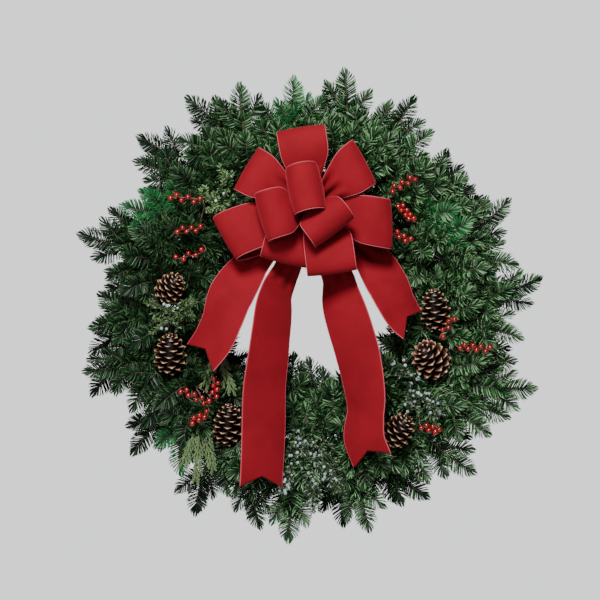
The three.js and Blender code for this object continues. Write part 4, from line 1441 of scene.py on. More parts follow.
JUNIPERS = (
    JuniperSpray(130, 0, (-118, -62, 124), ((-140, -86, 146), (-110, -84, 172), (-124, -100, 132)), 4, 0.85),
    JuniperSpray(190, -5, (-166, -62, -22), ((-206, -80, 4), (-198, -84, -30), (-158, -90, 2)), 10, 0.4),
    JuniperSpray(270, 0, (-4, -62, -150), ((-33, -84, -247), (6, -80, -272), (38, -86, -246)), 84),
    JuniperSpray(330, -5, (146, -62, -110), ((130, -86, -138), (170, -84, -144), (120, -84, -82)), 46),
)


@dataclass
class Junipers:
    """Silvery juniper with pale round berries; lengths in mm, and a pair of numbers is a range for a draw."""

    cover: Cover
    seed: int = 400
    habit: NeedleHabit = NeedleHabit(
        length=7.0, width=1.5, spacing=0.85, spread=46.0, tip_spread=24.0,
        ranks=(20.0, -40.0, 55.0, -10.0, 72.0), roll=60.0, curve=0.05
    )
    lift: float = 6.0
    main_radii: Span = (1.5, 0.7)
    main_bare: float = 12.0
    twiglet_spacing: float = 5.0
    twiglet_places: Span = (0.16, 0.95)
    twiglet_lengths: Span = (26.0, 14.0)
    twiglet_play: Span = (0.7, 1.15)
    twiglet_radii: Span = (0.8, 0.45)
    berry_radius: float = 2.3
    berry_play: Span = (0.8, 1.1)
    berry_places: Span = (0.3, 0.9)

    def twiglets(self, main: Stem, draw: Draws) -> list[Stem]:
        """Twiglets all round a twig, at golden-angle turns, that get shorter towards its tip.

        Args:
            main: The twig.
            draw: Seeded draws.

        Returns:
            Their stems.
        """
        length = main.length()
        count = int(length / self.twiglet_spacing)
        places, _ = main.places(np.linspace(*self.twiglet_places, count) * length)
        roots, runs = main.at(places)
        ups = square_to(runs, np.broadcast_to(VIEWER, runs.shape))
        longest, shortest = self.twiglet_lengths
        made = []
        for i, (root, run, up) in enumerate(zip(roots, runs, ups)):
            angle = i * GOLDEN_TURN
            out = math.cos(angle) * np.cross(run, up) + (math.sin(angle) + 0.35) * up
            size = (longest - (longest - shortest) * i / count) * draw.uniform(*self.twiglet_play)
            way = unit(0.75 * run + 0.8 * out)
            end = root + unit(way + 0.3 * run) * size
            bend = root + 0.5 * size * way
            made.append(Stem(root, bend, end, unit(out), *self.twiglet_radii, 1.5, main.fresh))
        return made

    def add_berries(self, draft: Draft, stems: list[Stem], count: int, draw: Draws) -> None:
        """Adds round berries that stand on the twiglets, on the side towards the viewer.

        Args:
            draft: The mesh.
            stems: The twigs and twiglets.
            count: How many berries there are.
            draw: Seeded draws.
        """
        points, facets = ball(10, 5)
        chosen = [stems[i] for i in draw.integers(0, len(stems), count)]
        for stem in chosen:
            place = np.array((draw.uniform(*self.berry_places),))
            spot, run = (values[0] for values in stem.at(place))
            away = unit(square_to(run, VIEWER) + draw.normal(0, 0.45, 3))
            radius = self.berry_radius * draw.uniform(*self.berry_play)
            centre = spot + away * (radius + 0.4)
            draft.add(centre + radius * points, facets, tint(draw.uniform(0, 1)), Part.FRUIT)

    def build(self) -> None:
        """Builds one piece for each spray."""
        materials = [JUNIPER_LEAF.material(), FIR_BARK.material(), JUNIPER_BERRY.material()]
        for index, spray in enumerate(JUNIPERS):
            draw = np.random.default_rng(self.seed + index)
            draft = Draft()
            fork = np.array(spray.fork, float)
            add_spray_wire(draft, fork, spray.ring_angle, spray.shift)
            stems: list[Stem] = []
            for tip in np.array(spray.tips, float):
                bend = (fork + tip) / 2 + self.lift * VIEWER
                main = Stem(fork, bend, tip, VIEWER, *self.main_radii, self.main_bare, spray.fresh)
                stems += [main, *self.twiglets(main, draw)]
            for stem in stems:
                add_bark(draft, stem, 5)
                add_needles(draft, stem, self.habit, draw, self.cover)
            self.add_berries(draft, stems, spray.berries, draw)
            node = f"juniper_spray_{index + 1}"
            draft.to_piece(f"{node}_twigs", [node], materials)


def add_spray_wire(draft: Draft, fork: Array, degrees: float, shift: float) -> None:
    """Adds the wired stem of a spray, from its fork to the ring."""
    wire = hooked_line([fork], degrees, shift, 10)
    add_tube(draft, wire, SPRAY_WIRE, WIRE_SIDES, WIRE_FACING, BARK_LOOK, Part.STEM)


# ---- Cedar ----


@dataclass(frozen=True)
class CedarSpray:
    """A cedar spray: where its stem is hooked on the ring, its fork and the tips of its fronds."""

    ring_angle: float
    shift: float
    fork: tuple[float, float, float]
    tips: tuple[tuple[float, float, float], ...]


CEDARS = (
    CedarSpray(230, -5, (-142, -66, -150), ((-168, -84, -214), (-150, -94, -238), (-126, -84, -222))),
    CedarSpray(210, -5, (-120, -62, -60), ((-138, -84, -108), (-101, -86, -118))),
)


@dataclass
class Cedars:
    """Flat hanging fronds of cedar: thin branchlets covered in scale leaves.

    Lengths are in mm and angles in degrees; a pair of numbers is a range for a draw, or what a value is
    on a scale's swell and on its waist.
    """

    seed: int = 600
    reach_share: float = 0.88
    lift: float = 8.0
    rib_radii: Span = (1.3, 0.6)
    spacing: float = 4.2
    branchlet: float = 19.0
    branchlet_play: Span = (0.8, 1.1)
    branchlet_angle: Span = (14.0, 30.0)
    droop: float = 0.18
    leaves: tuple[Span, ...] = ((0.3, 24.0), (0.5, -22.0), (0.68, 18.0))  # place on a branchlet, and turn
    leaf_reach: Span = (0.62, 0.4)
    sides: int = 6
    beads: int = 9
    thick: float = 1.05
    taper: float = 0.6
    swell: Span = (1.15, 0.8)

    def strand(self, draft: Draft, stem: Stem, draw: Draws) -> None:
        """Adds a branchlet of overlapping scales: a tube whose radius swells and closes in along it.

        Args:
            draft: The mesh.
            stem: Its middle line.
            draw: Seeded draws.
        """
        rows = 2 * self.beads
        t = np.linspace(0, 1, rows)
        line, _ = stem.at(t)
        swelled = np.arange(rows) % 2 == 1
        radii = self.thick * np.where(swelled, *self.swell) * (1 - self.taper * t**2)
        rings = rows * self.sides
        look = np.tile(tint(draw.uniform(0, 1), 0.5, 0.0), (rings + 2, 1))
        # height: painted shade towards the branchlet's root, and its tip colour at the end
        look[:rings, 1] = np.repeat(0.35 + 0.63 * t, self.sides)
        look[:rings, 2] = np.repeat(np.where(swelled, 0.9, 0.2), self.sides)
        look[-1, 1] = 1.0
        add_tube(draft, line, radii, self.sides, stem.facing, look)

    def branch(
        self, draft: Draft, root: Array, way: Array, size: float, up: Array, draw: Draws
    ) -> None:
        """Adds a drooping branchlet and the shorter ones that fork from it.

        Args:
            draft: The mesh.
            root: Where it starts.
            way: Its unit way out.
            size: Its length.
            up: The way its flat side faces.
            draw: Seeded draws.
        """
        droop = np.array((0.0, 0.0, -self.droop * size))
        twig = Stem(root, root + way * 0.55 * size, root + way * size + droop, up, 1, 1, 0)
        self.strand(draft, twig, draw)
        for share, turn in self.leaves:
            (spot,), (along,) = twig.at(np.array((share,)))
            leaf_way = turned(along[None], up[None], np.radians(np.array((turn,))))[0]
            reach = size * (self.leaf_reach[0] - self.leaf_reach[1] * share)
            end = spot + leaf_way * reach + 0.3 * droop
            self.strand(draft, Stem(spot, spot + leaf_way * 0.5 * reach, end, up, 1, 1, 0), draw)

    def frond(self, draft: Draft, fork: Array, tip: Array, draw: Draws) -> None:
        """Adds a rib with branchlets on both sides in turn, all leaning steeply to the tip.

        Args:
            draft: The mesh.
            fork: Where the rib starts.
            tip: Where it ends.
            draw: Seeded draws.
        """
        rib = Stem(fork, (fork + tip) / 2 + self.lift * VIEWER, tip, VIEWER, *self.rib_radii, 0.0)
        add_bark(draft, rib)
        length = rib.length()
        first, last = 0.2, 1.0
        count = int((last - first) * length / self.spacing)
        places, _ = rib.places(np.linspace(first, last, count) * length)
        roots, runs = rib.at(places)
        fading, middle = 0.35, 0.9
        for i, (root, run) in enumerate(zip(roots, runs)):
            up = square_to(run, VIEWER)
            side = np.cross(run, up) * (1 if i % 2 else -1)
            shorter = 1 - fading * abs(2 * i / count - middle)
            size = self.branchlet * shorter * draw.uniform(*self.branchlet_play)
            angle = math.radians(draw.uniform(*self.branchlet_angle))
            rise = draw.uniform(-0.12, 0.12)
            way = unit(math.cos(angle) * run + math.sin(angle) * side + rise * up)
            self.branch(draft, root, way, size, up, draw)

    def build(self) -> None:
        """Builds one piece for each spray."""
        materials = [CEDAR_LEAF.material(), FIR_BARK.material()]
        for index, spray in enumerate(CEDARS):
            draw = np.random.default_rng(self.seed + index)
            draft = Draft()
            fork = np.array(spray.fork, float)
            add_spray_wire(draft, fork, spray.ring_angle, spray.shift)
            for tip in np.array(spray.tips, float):
                self.frond(draft, fork, fork + self.reach_share * (tip - fork), draw)
            node = f"cedar_spray_{index + 1}"
            draft.to_piece(f"{node}_fronds", [node], materials)


# ---- Pine cones ----


@dataclass(frozen=True)
class Cone:
    """A pine cone: its middle, the way its tip points, its size and where its wire is hooked."""

    middle: tuple[float, float, float]
    way: tuple[float, float, float]
    length: float
    radius: float
    ring_angle: float
    shift: float


CONES = (
    Cone((-183, -74, 23), (0.55, -0.55, 0.6), 42, 19, 170, 0),
    Cone((-184, -72, -64), (0.05, -0.35, 1), 54, 22, 190, 5),
    Cone((167, -72, -5), (-0.1, -0.3, 1), 55, 20.5, 10, -2),
    Cone((160, -74, -72), (-0.5, -0.7, 0.6), 52, 25, 330, 5),
    Cone((120, -72, -166), (0.45, -0.5, 0.65), 48, 20.5, 310, -5),
    Cone((-107, -68, -158), (0.1, -0.3, 1), 56, 20.5, 230, 5),
)


@dataclass
class PineCones:
    """Open pine cones, with scales in a golden-angle spiral.

    A scale's length runs over b from 0 to 1 and its width over a from -1 to 1.
    """

    seed: int = 800
    scales: int = 60
    across: int = 9
    along: int = 9
    core: float = 0.42
    usual_radius: float = 21.0
    rise: Span = (-8.0, 78.0)
    half_width: float = 0.35
    half_widths: Span = (2.2, 7.2)
    width_play: Span = (0.9, 1.1)
    cup: float = 0.22
    droop: float = 0.1
    depths: Span = (0.5, 1.3)

    def scale_shape(self, half: Array, reach: Array, tones: Array, radius: float) -> tuple[Array, Array]:
        """Shapes scales lying flat: spoons that are turned up at their edges and droop at their end.

        The half width grows as sin(pi b / 1.55) and rounds off at the end, the edges turn up by a^2 b,
        and the scale thickens to its end, which is pale; its root, deep in the cone, is darkened by painted
        shade.

        Args:
            half: Half width of each scale.
            reach: Length of each scale.
            tones: Tone of each scale.
            radius: Radius of the cone, which sets how thick they are.

        Returns:
            Points as (scales, 2 x along x across, 3), which is across, along and up, and their tints.
        """
        a, b = np.meshgrid(np.linspace(-1, 1, self.across), np.linspace(0, 1, self.along))
        rounded = np.sqrt(np.clip(1 - (np.maximum(b - 0.62, 0) / 0.4) ** 2, 0, 1))
        width = np.sin(np.pi * np.clip(b, 0.12, 1) / 1.55) * rounded
        x = half[:, None, None] * (a * width)
        y = reach[:, None, None] * (b - 0.1 * a**2 * b)
        cup = self.cup * half[:, None, None] * (a * a) * b
        droop = self.droop * reach[:, None, None] * np.maximum(b - 0.75, 0) / 0.25
        thin, thicker = self.depths
        depth = (thin + thicker * ease((b - 0.45) / 0.5)) * np.sqrt(np.clip(1 - 0.9 * np.abs(a) ** 3, 0, 1))
        depth = depth * np.where(b > 0.99, 0.45, 1.0) * radius / self.usual_radius
        heights = [cup - droop + lift * depth[None] for lift in (0.5, -0.5)]
        faces = [np.stack(np.broadcast_arrays(x, y, z), axis=-1) for z in heights]
        look = np.zeros((self.scales, 2, self.along, self.across, 4))
        look[..., 0] = tones[:, None, None, None]
        # height: painted shade, darkest at the scale's root deep in the cone
        look[..., 1] = ease((b - 0.35) / 0.5)
        look[..., 2] = np.maximum(ease((b - 0.76) / 0.2), 0.5 * np.abs(a) ** 6 * ease((b - 0.5) / 0.3))
        return np.stack(faces, axis=1).reshape(self.scales, -1, 3), look.reshape(self.scales, -1, 4)

    def scale_points(self, cone: Cone, draw: Draws) -> tuple[Array, Array]:
        """Places all scales of a cone that stands on its base; they rise more steeply towards its tip.

        Args:
            cone: The cone.
            draw: Seeded draws.

        Returns:
            Points as (scales, 2 x along x across, 3) and their tints.
        """
        order = np.arange(self.scales)
        height = 0.03 + 0.93 * ((order + 0.5) / self.scales) ** 0.95
        outline = np.sin(math.pi * np.clip(height, 0, 1) ** 0.72) ** 0.75
        angle = order * GOLDEN_TURN
        rise = np.radians(self.rise[0] + self.rise[1] * height**1.3)
        rise = rise + draw.uniform(-0.06, 0.06, self.scales)
        inner = self.core * cone.radius * outline
        reach = np.maximum(cone.radius * outline * 1.02 - inner, 2.5)
        reach = reach / np.maximum(np.cos(rise), 0.55)
        half = np.clip(cone.radius * outline * self.half_width, *self.half_widths)
        half = half * draw.uniform(*self.width_play, self.scales)
        local, look = self.scale_shape(half, reach, draw.uniform(0, 1, self.scales), cone.radius)
        out = np.stack((np.cos(angle), np.sin(angle), 0 * angle), axis=1)
        side = np.stack((-np.sin(angle), np.cos(angle), 0 * angle), axis=1)
        forward = np.cos(rise)[:, None] * out + np.sin(rise)[:, None] * UP
        normal = np.cos(rise)[:, None] * UP - np.sin(rise)[:, None] * out
        root = inner[:, None] * out + ((height - 0.06) * cone.length)[:, None] * UP
        points = root[:, None] + local[..., :1] * side[:, None] + local[..., 1:2] * forward[:, None]
        points = points + local[..., 2:] * normal[:, None]
        return points, look

    def build(self, cover: Cover) -> None:
        """Builds one piece for each cone and keeps foliage off its front.

        Args:
            cover: What foliage stays behind.
        """
        materials = [CONE_SCALE.material(), WIRE.material()]
        facets = cloth_facets(self.along, self.across)
        core_points, core_facets = ball(16, 11)
        for index, cone in enumerate(CONES):
            draw = np.random.default_rng(self.seed + index)
            way = unit(np.array(cone.way, float))
            side = square_to(way, np.array((1.0, 0.3, 0.1)))
            turn = np.stack((side, np.cross(way, side), way))
            base = np.array(cone.middle, float) - way * cone.length / 2
            points, look = self.scale_points(cone, draw)
            draft = Draft()
            draft.add(base + points @ turn, facets, look)
            core = core_points * (0.5 * cone.radius, 0.5 * cone.radius, 0.47 * cone.length)
            core = core + (0, 0, 0.48 * cone.length)
            # the core wears the darkest colour, painted shade inside the cone
            draft.add(base + core @ turn, core_facets, tint(0.2, 0.0, 0.0))
            below = base - 5 * way
            halfway = (below + polar(cone.ring_angle, RING_RADIUS, RING_DEPTH)) / 2
            wire = hooked_line([base + 6 * way, below, halfway], cone.ring_angle, cone.shift, 16)
            radius = 0.8 * PICK_WIRE
            add_tube(draft, wire, radius, WIRE_SIDES, WIRE_FACING, PLAIN_LOOK, Part.STEM)
            for step in (-0.3, 0.0, 0.3):
                spot = np.array(cone.middle, float) + way * step * cone.length
                behind = np.array((0.0, 0.35 * cone.radius, 0.0))
                cover.add(spot + behind, cone.radius * (1 - 0.5 * abs(step)) + 1.5)
            node = f"pine_cone_{index + 1}"
            draft.to_piece(f"{node}_scales", [node], materials, smooth=True)


# ---- Red berries ----


@dataclass(frozen=True)
class Pick:
    """A berry pick: where its wire is hooked, its fork, and its twigs as x, z, x, z and berries."""

    ring_angle: float
    shift: float
    fork: tuple[float, float]
    twigs: tuple[tuple[float, float, float, float, int], ...]


PICKS = (
    Pick(150, 0, (-146, 92), ((-140, 135, -186, 142, 6), (-140, 99, -176, 97, 6), (-137, 70, -178, 58, 5))),
    Pick(50, 0, (109, 128), ((107, 149, 141, 167, 7), (118, 132, 137, 109, 8), (108, 96, 135, 82, 6))),
    Pick(
        210,
        5,
        (-152, -108),
        ((-170, -112, -130, -132, 8), (-122, -96, -125, -124, 6), (-157, -156, -132, -143, 6)),
    ),
    Pick(350, -6, (190, -46), ((191, -16, 172, -44, 5), (196, -56, 240, -60, 8))),
    Pick(310, 5, (148, -138), ((147, -160, 173, -168, 6),)),
)


@dataclass
class BerryPicks:
    """Glossy red berries on thin twigs that are wired to the ring."""

    seed: int = 1000
    radius: float = 4.0
    radius_play: Span = (0.86, 1.02)
    lean: float = 0.62
    lift: Span = (0.5, 1.0)
    scatter: Span = (-0.15, 0.15)
    tones: Span = (0.5, 1.0)
    twig: float = 0.9
    twig_steps: int = 19
    fork_depth: float = -62.0
    twig_depth: float = -90.0
    cover_margin: float = 3.0

    def berries(self, draft: Draft, start: Array, end: Array, count: int, draw: Draws) -> Array:
        """Adds berries either side of a twig, each on a short stalk and with a dark mark at its far end.

        Args:
            draft: The mesh.
            start: Where the twig's berries start.
            end: Where they end.
            count: How many berries there are.
            draw: Seeded draws.

        Returns:
            The berries' middles.
        """
        points, facets = ball(14, 9)
        marks = ease((points[:, 2] - 0.93) / 0.05)  # on a small cap round the pole
        run = end - start
        way = unit(run)
        aside = np.array((-way[2], 0.0, way[0]))
        centres = []
        for i in range(count):
            spot = start + run * (i + 0.5) / count
            side = aside * (self.lean if i % 2 else -self.lean) + VIEWER * draw.uniform(*self.lift)
            side = unit(side + draw.uniform(*self.scatter) * way)
            radius = self.radius * draw.uniform(*self.radius_play)
            centre = spot + side * (0.85 * radius + 1.0)
            across = square_to(side, way)
            turn = np.stack((across, np.cross(side, across), side))
            look = np.tile(tint(draw.uniform(*self.tones)), (len(points), 1))
            look[:, 2] = marks
            draft.add(centre + radius * points @ turn, facets, look)
            stalk = np.linspace(spot, centre - side * radius * 0.9, 4)
            add_tube(draft, stalk, 0.55, 6, way, BARK_LOOK, Part.STEM)
            centres.append(centre)
        return np.array(centres)

    def build(self, cover: Cover) -> None:
        """Builds one piece for each pick and keeps foliage off its berries.

        Args:
            cover: What foliage stays behind.
        """
        materials = [RED_BERRY.material(), TWIG.material()]
        for index, pick in enumerate(PICKS):
            draw = np.random.default_rng(self.seed + index)
            draft = Draft()
            fork = np.array((pick.fork[0], self.fork_depth, pick.fork[1]), float)
            stem = hooked_line([fork], pick.ring_angle, pick.shift, 12)
            radius = 1.3 * self.twig
            add_tube(draft, stem, radius, WIRE_SIDES, WIRE_FACING, BARK_LOOK, Part.STEM)
            for *places, count in pick.twigs:
                ends = sorted((places[:2], places[2:]), key=lambda end: math.dist(end, pick.fork))
                start, end = (np.array((x, self.twig_depth, z), float) for x, z in ends)
                behind = (fork + start) / 2 - 6 * VIEWER
                line = smooth_line(np.stack((fork, behind, start, end)), np.linspace(0, 1, self.twig_steps))
                radii = self.twig * np.linspace(1.1, 0.6, self.twig_steps)
                facing = np.array((0.1, 1.0, 0.15))
                add_tube(draft, line, radii, WIRE_SIDES, facing, tint(0.6, 0.7, 0.2), Part.STEM)
                centres = self.berries(draft, start, end, count, draw)
                cover.add(centres + (0, self.radius, 0), self.radius + self.cover_margin)
            node = f"berry_pick_{index + 1}"
            draft.to_piece(f"{node}_berries", [node], materials, smooth=True)


# ---- Bow ----


class Held(Enum):
    """How a ribbon is held."""

    GATHERED = "gathered"
    HUNG = "hung"


@dataclass(frozen=True)
class Loop:
    """A loop of the bow.

    Its way out, the way its width runs, its length, its half depth, how its two edges spread, how far
    forward of the knot's middle it starts, where its root is and how much its end is skewed.
    """

    name: str
    towards: tuple[float, float, float]
    width_way: tuple[float, float, float]
    length: float
    half_depth: float
    spread: tuple[float, float]
    forward: float
    root: tuple[float, float]
    skew: float = 0.0


LOOPS = (
    Loop("top", (-16, -22, 103), (0.98, 0, 0.18), 97, 20, (0.42, 0.52), 0, (-1.1, 7.1)),
    Loop("upper_left", (-83, -20, 49), (0.49, 0, 0.87), 91, 20, (0.4, 0.42), 0, (-6.2, 3.7)),
    Loop("upper_right", (72, -20, 57), (0.49, 0, -0.87), 86, 20, (0.48, 0.42), 0, (5.6, 4.5), -0.18),
    Loop("left", (-116, -16, -39), (0.49, -0.22, -0.87), 113, 17, (0.4, 0.52), 0, (-6.8, -2.3), -0.16),
    Loop("right", (108, -18, -19), (0.03, 0, -1), 101, 18, (0.41, 0.54), 0, (7.1, -1.2), 0.2),
    Loop("bottom_left", (-18, -28, -73), (0.97, 0, -0.24), 83, 15, (0.9, 0.3), 0, (0.5, 0)),
    Loop("bottom_right", (11, -40, -88), (0.985, 0, 0.17), 97, 15, (0.3, 0.9), 5, (1.5, 0)),
    Loop("centre_top", (-4, -62, 14), (-0.2, 0, 0.98), 63, 20, (0.64, 0.66), 18, (-2.8, 9.6)),
    Loop("centre_left", (-50, -46, -12), (0.32, 0, -0.94), 67, 19, (0.65, 0.65), 18, (-9.7, -2.4)),
    Loop("centre_right", (19, -56, -19), (0.81, 0, 0.58), 62, 18, (0.65, 0.65), 18, (6.9, -7.2)),
)

# Tails from the knot down: across, depth, height, and the turn of the face in degrees
TAILS = (
    ((-6, -87, 121, 0), (-36, -84, 92, 0), (-76, -92, 54, 24), (-103, -102, 13, 18),
     (-115, -106, -22, 32), (-126, -104, -46, 34), (-144, -100, -70, 40)),
    ((-2, -87, 118, 0), (-14, -84, 82, 0), (-30, -90, 40, -36), (-42, -102, 11, -42), (-49, -110, -36, -38),
     (-53, -112, -74, -33), (-57, -110, -109, -31), (-59, -106, -165, -30), (-62, -110, -239, -30)),
    ((4, -87, 118, 0), (16, -84, 82, 0), (36, -90, 37, 32), (41, -102, 9, 28), (52, -110, -29, 27),
     (63, -112, -69, 27), (72, -108, -118, 36), (73, -104, -143, 44), (71, -106, -175, 37),
     (81, -110, -205, 37)),
    ((7, -87, 122, 0), (38, -80, 96, 0), (83, -84, 60, -16), (103, -99, 28, -27),
     (115, -106, 3, -38), (125, -104, -13, -40), (137, -100, -27, -48)),
)


@dataclass
class Bow:
    """Ten loops and four tails of wired velvet ribbon round a bound middle; lengths in mm.

    A fade is where a change along the ribbon starts and how long it takes, in mm or as shares of a loop.
    """

    root_half: float = 2.2
    root_gap: float = 0.9
    width_blend: float = 4.0
    columns: int = 25
    loop_rows: int = 97
    loop_depth: float = 1.3
    tail_rows: int = 121
    tail_steps: int = 400
    tail_taper: float = 0.235
    notch: float = 14.0
    pleat: float = 3.6
    pleats: float = 2.5
    pleat_start: Span = (-5.0, 14.0)
    pleat_end: Span = (0.35, 0.4)
    gathered_share: float = 0.8
    crown: float = 1.6
    crown_end: float = 0.5
    curl: float = -1.8
    wave: float = 1.1
    wave_length: float = 26.0
    selvage: float = 0.75
    cover_radius: float = 9.0
    knot_rows: int = 25
    coil_radius: float = 4.9
    coil_wire: float = 0.7

    def dress(self, middle: Array, node: str, cloth: Material, thread: Material) -> None:
        """Args:
            middle: The ribbon's middle surface, rows along it and columns across it.
            node: The solid it stands for.
            cloth: Its velvet.
            thread: Its selvage.
        """
        draft = Draft()
        rows, columns = middle.shape[:2]
        draft.add(cloth_points(middle, RIBBON_THICKNESS), cloth_facets(rows, columns), PLAIN_LOOK)
        ribbon = draft.to_piece(f"{node}_ribbon", [node], [cloth], smooth=True)
        draft = Draft()
        for edge, inner in ((0, 1), (-1, -2)):
            line = middle[:, edge]
            facing = square_to(unit(np.gradient(line, axis=0)), middle[:, inner] - line)
            add_tube(draft, line, self.selvage, 8, facing, PLAIN_LOOK)
        selvage = draft.to_piece(f"{node}_selvage", [node], [thread], smooth=True)

    def fold_height(self, width: Array) -> Array:
        """Finds how high the pleats stand where the ribbon is gathered.

        A wave of n pleats over width w with height A is about w (1 + (2 pi n A / w)^2 / 2)^0.5 long, which
        has to be the share of the ribbon's own width that is gathered.

        Args:
            width: The width that it is gathered to.

        Returns:
            The height A.
        """
        spare = np.maximum((self.gathered_share * RIBBON_WIDTH) ** 2 - width**2, 0)
        needed = math.sqrt(2) * np.sqrt(spare) / (2 * math.pi * self.pleats)
        return soft_least(self.pleat, needed, 0.6)

    def loop(self, loop: Loop) -> Array:
        """Middle grid of a loop.

        Seen from its edge it is a teardrop: at a turn a from 0 to 2 pi it is L (1 - cos a) / 2 from the
        root and 1.3 h sin a sin(a/2) deep. Its edges spread from the root up to the ribbon's width. Fine
        pleats die away from the root, its middle is crowned a little towards the outside, and its end may
        be skewed.

        Args:
            loop: The loop's sizes.

        Returns:
            Points as (rows, columns, 3).
        """
        out = unit(np.array(loop.towards, float))
        across = square_to(out, np.array(loop.width_way, float))
        root = BOW_CENTRE + np.array((loop.root[0], -loop.forward, loop.root[1]))
        turn = 2 * math.pi * np.linspace(0, 1, self.loop_rows)[:, None]
        side = np.linspace(0, 1, self.columns)[None, :]
        along = loop.length * (1 - np.cos(turn)) / 2
        depth = self.root_gap * np.cos(turn / 2)
        depth = depth + self.loop_depth * loop.half_depth * np.sin(turn) * np.sin(turn / 2)
        total = loop.spread[0] + loop.spread[1]
        low, high = (
            soft_least(RIBBON_WIDTH * share / total, self.root_half + share * along, self.width_blend)
            for share in loop.spread
        )
        place = -low + (low + high) * side
        outward = unit(np.stack((np.gradient(depth[:, 0]), -np.gradient(along[:, 0])), axis=1))
        outward = outward * np.sign(outward[self.loop_rows // 2, 0])
        swell = self.crown * (1 - (2 * side - 1) ** 2) * ease(along / (self.crown_end * loop.length))
        lean = loop.skew * place * along / loop.length
        fold = self.fold_height(low + high) * fade(along, self.pleat_start)
        fold = fold * (1 - fade(along / loop.length, self.pleat_end))
        pleats = fold * np.sin(2 * math.pi * self.pleats * side + loop.length)
        along = along + lean + swell * outward[:, :1]
        depth = depth + swell * outward[:, 1:] + pleats
        deep = np.cross(out, across)
        return root + along[..., None] * out + depth[..., None] * deep + place[..., None] * across

    def tail(self, stations: Sequence[tuple[float, ...]], phase: float) -> Array:
        """Middle grid of a tail.

        Its middle line passes through the stations, its width grows with the distance from the knot up
        to the ribbon's, and it is turned about its run by the stations' angles. The last row is cut to
        a notch, its long edges curl back a little and slow waves run down it.

        Args:
            stations: Across, depth, height and turn, from the knot down.
            phase: Where its waves begin.

        Returns:
            Points as (rows, columns, 3).
        """
        table = np.array(stations, float)
        side = np.linspace(-1, 1, self.columns)[None, :]
        down = np.linspace(0, 1, self.tail_rows)
        steps = np.linspace(0, 1, self.tail_steps)
        line = smooth_line(table[:, :3], steps)
        gone = np.concatenate(((0.0,), np.cumsum(np.linalg.norm(np.diff(line, axis=0), axis=1))))
        runs = unit(np.gradient(line, axis=0))
        angles = np.radians(np.interp(steps, np.linspace(0, 1, len(table)), table[:, 3]))
        across = turned(unit(np.stack((-runs[:, 2], 0 * steps, runs[:, 0]), axis=1)), runs, angles)
        distance = down[:, None] * (gone[-1] - self.notch * (1 - np.abs(side)))
        middle, wide, run = (
            np.stack([np.interp(distance, gone, values[:, axis]) for axis in range(3)], axis=-1)
            for values in (line, across, runs)
        )
        from_knot = np.linalg.norm(middle - table[0, :3], axis=-1)
        half = soft_least(RIBBON_WIDTH / 2, self.root_half + self.tail_taper * from_knot, self.width_blend)
        face = unit(np.cross(run, wide))
        face = face * -np.sign(face[..., 1:2])
        curl = self.curl * side**2 * ease(from_knot / 60.0)
        wave = self.wave * np.sin(distance / self.wave_length + phase + 0.8 * side)
        wave = wave * ease(from_knot / 80.0)
        fold = self.fold_height(2 * half) * fade(from_knot, self.pleat_start)
        lift = curl + wave + fold * np.sin(math.pi * self.pleats * side + phase)
        return middle + (half * side)[..., None] * wide + lift[..., None] * face

    def tie(self, cloth: Material) -> None:
        """Makes the bound middle: a short roll of ribbon with a wire wound round it and on to the ring.

        Args:
            cloth: Its velvet.
        """
        draft = Draft()
        front, back = (BOW_CENTRE[1] + reach for reach in (-13.0, 16.0))
        depth = np.linspace(front, back, self.knot_rows)
        across, height = (np.full(self.knot_rows, BOW_CENTRE[axis]) for axis in (0, 2))
        line = np.stack((across, depth, height), axis=1)
        radii = TIE_RADIUS * (0.8 + 0.2 * np.cos(2 * math.pi * (depth - front) / (back - front)))
        add_tube(draft, line, radii, 20, UP, PLAIN_LOOK)
        starts = [line[-5], np.array((4, back + 10, 134.0)), np.array((5, -42, 154.0))]
        wire = hooked_line(starts, 90, -5, 20)
        add_tube(draft, wire, PICK_WIRE, WIRE_SIDES, np.array((1.0, 0.1, 0.1)), PLAIN_LOOK, Part.STEM)
        coils, steps = 4, 97
        turns = np.linspace(0, 2 * math.pi * coils, steps)
        coil = np.stack((np.cos(turns), 0 * turns, np.sin(turns)), axis=1) * self.coil_radius
        coil = coil + np.array((BOW_CENTRE[0], 0, BOW_CENTRE[2]))
        spread = np.linspace(-3.0, 3.0, steps)
        coil[:, 1] = BOW_CENTRE[1] + 1.5 + spread
        add_tube(draft, coil, self.coil_wire, 6, -VIEWER, PLAIN_LOOK, Part.STEM)
        draft.to_piece("bow_tie_knot", ["bow_tie"], [cloth, WIRE.material()], smooth=True)

    def build(self, cover: Cover) -> None:
        """Builds every ribbon and the knot, and keeps foliage behind them.

        Args:
            cover: What foliage stays behind.
        """
        cloth, thread = VELVET.material(), SELVAGE.material()
        for loop in LOOPS:
            middle = self.loop(loop)
            self.dress(middle, f"bow_loop_{loop.name}", cloth, thread)
            cover.add(middle[::6, ::4], self.cover_radius)
        for index, stations in enumerate(TAILS):
            middle = self.tail(stations, 1.7 * index)
            self.dress(middle, f"bow_tail_{index + 1}", cloth, thread)
            cover.add(middle[::5, ::4], self.cover_radius)
        self.tie(cloth)


# ---- Wire frame ----


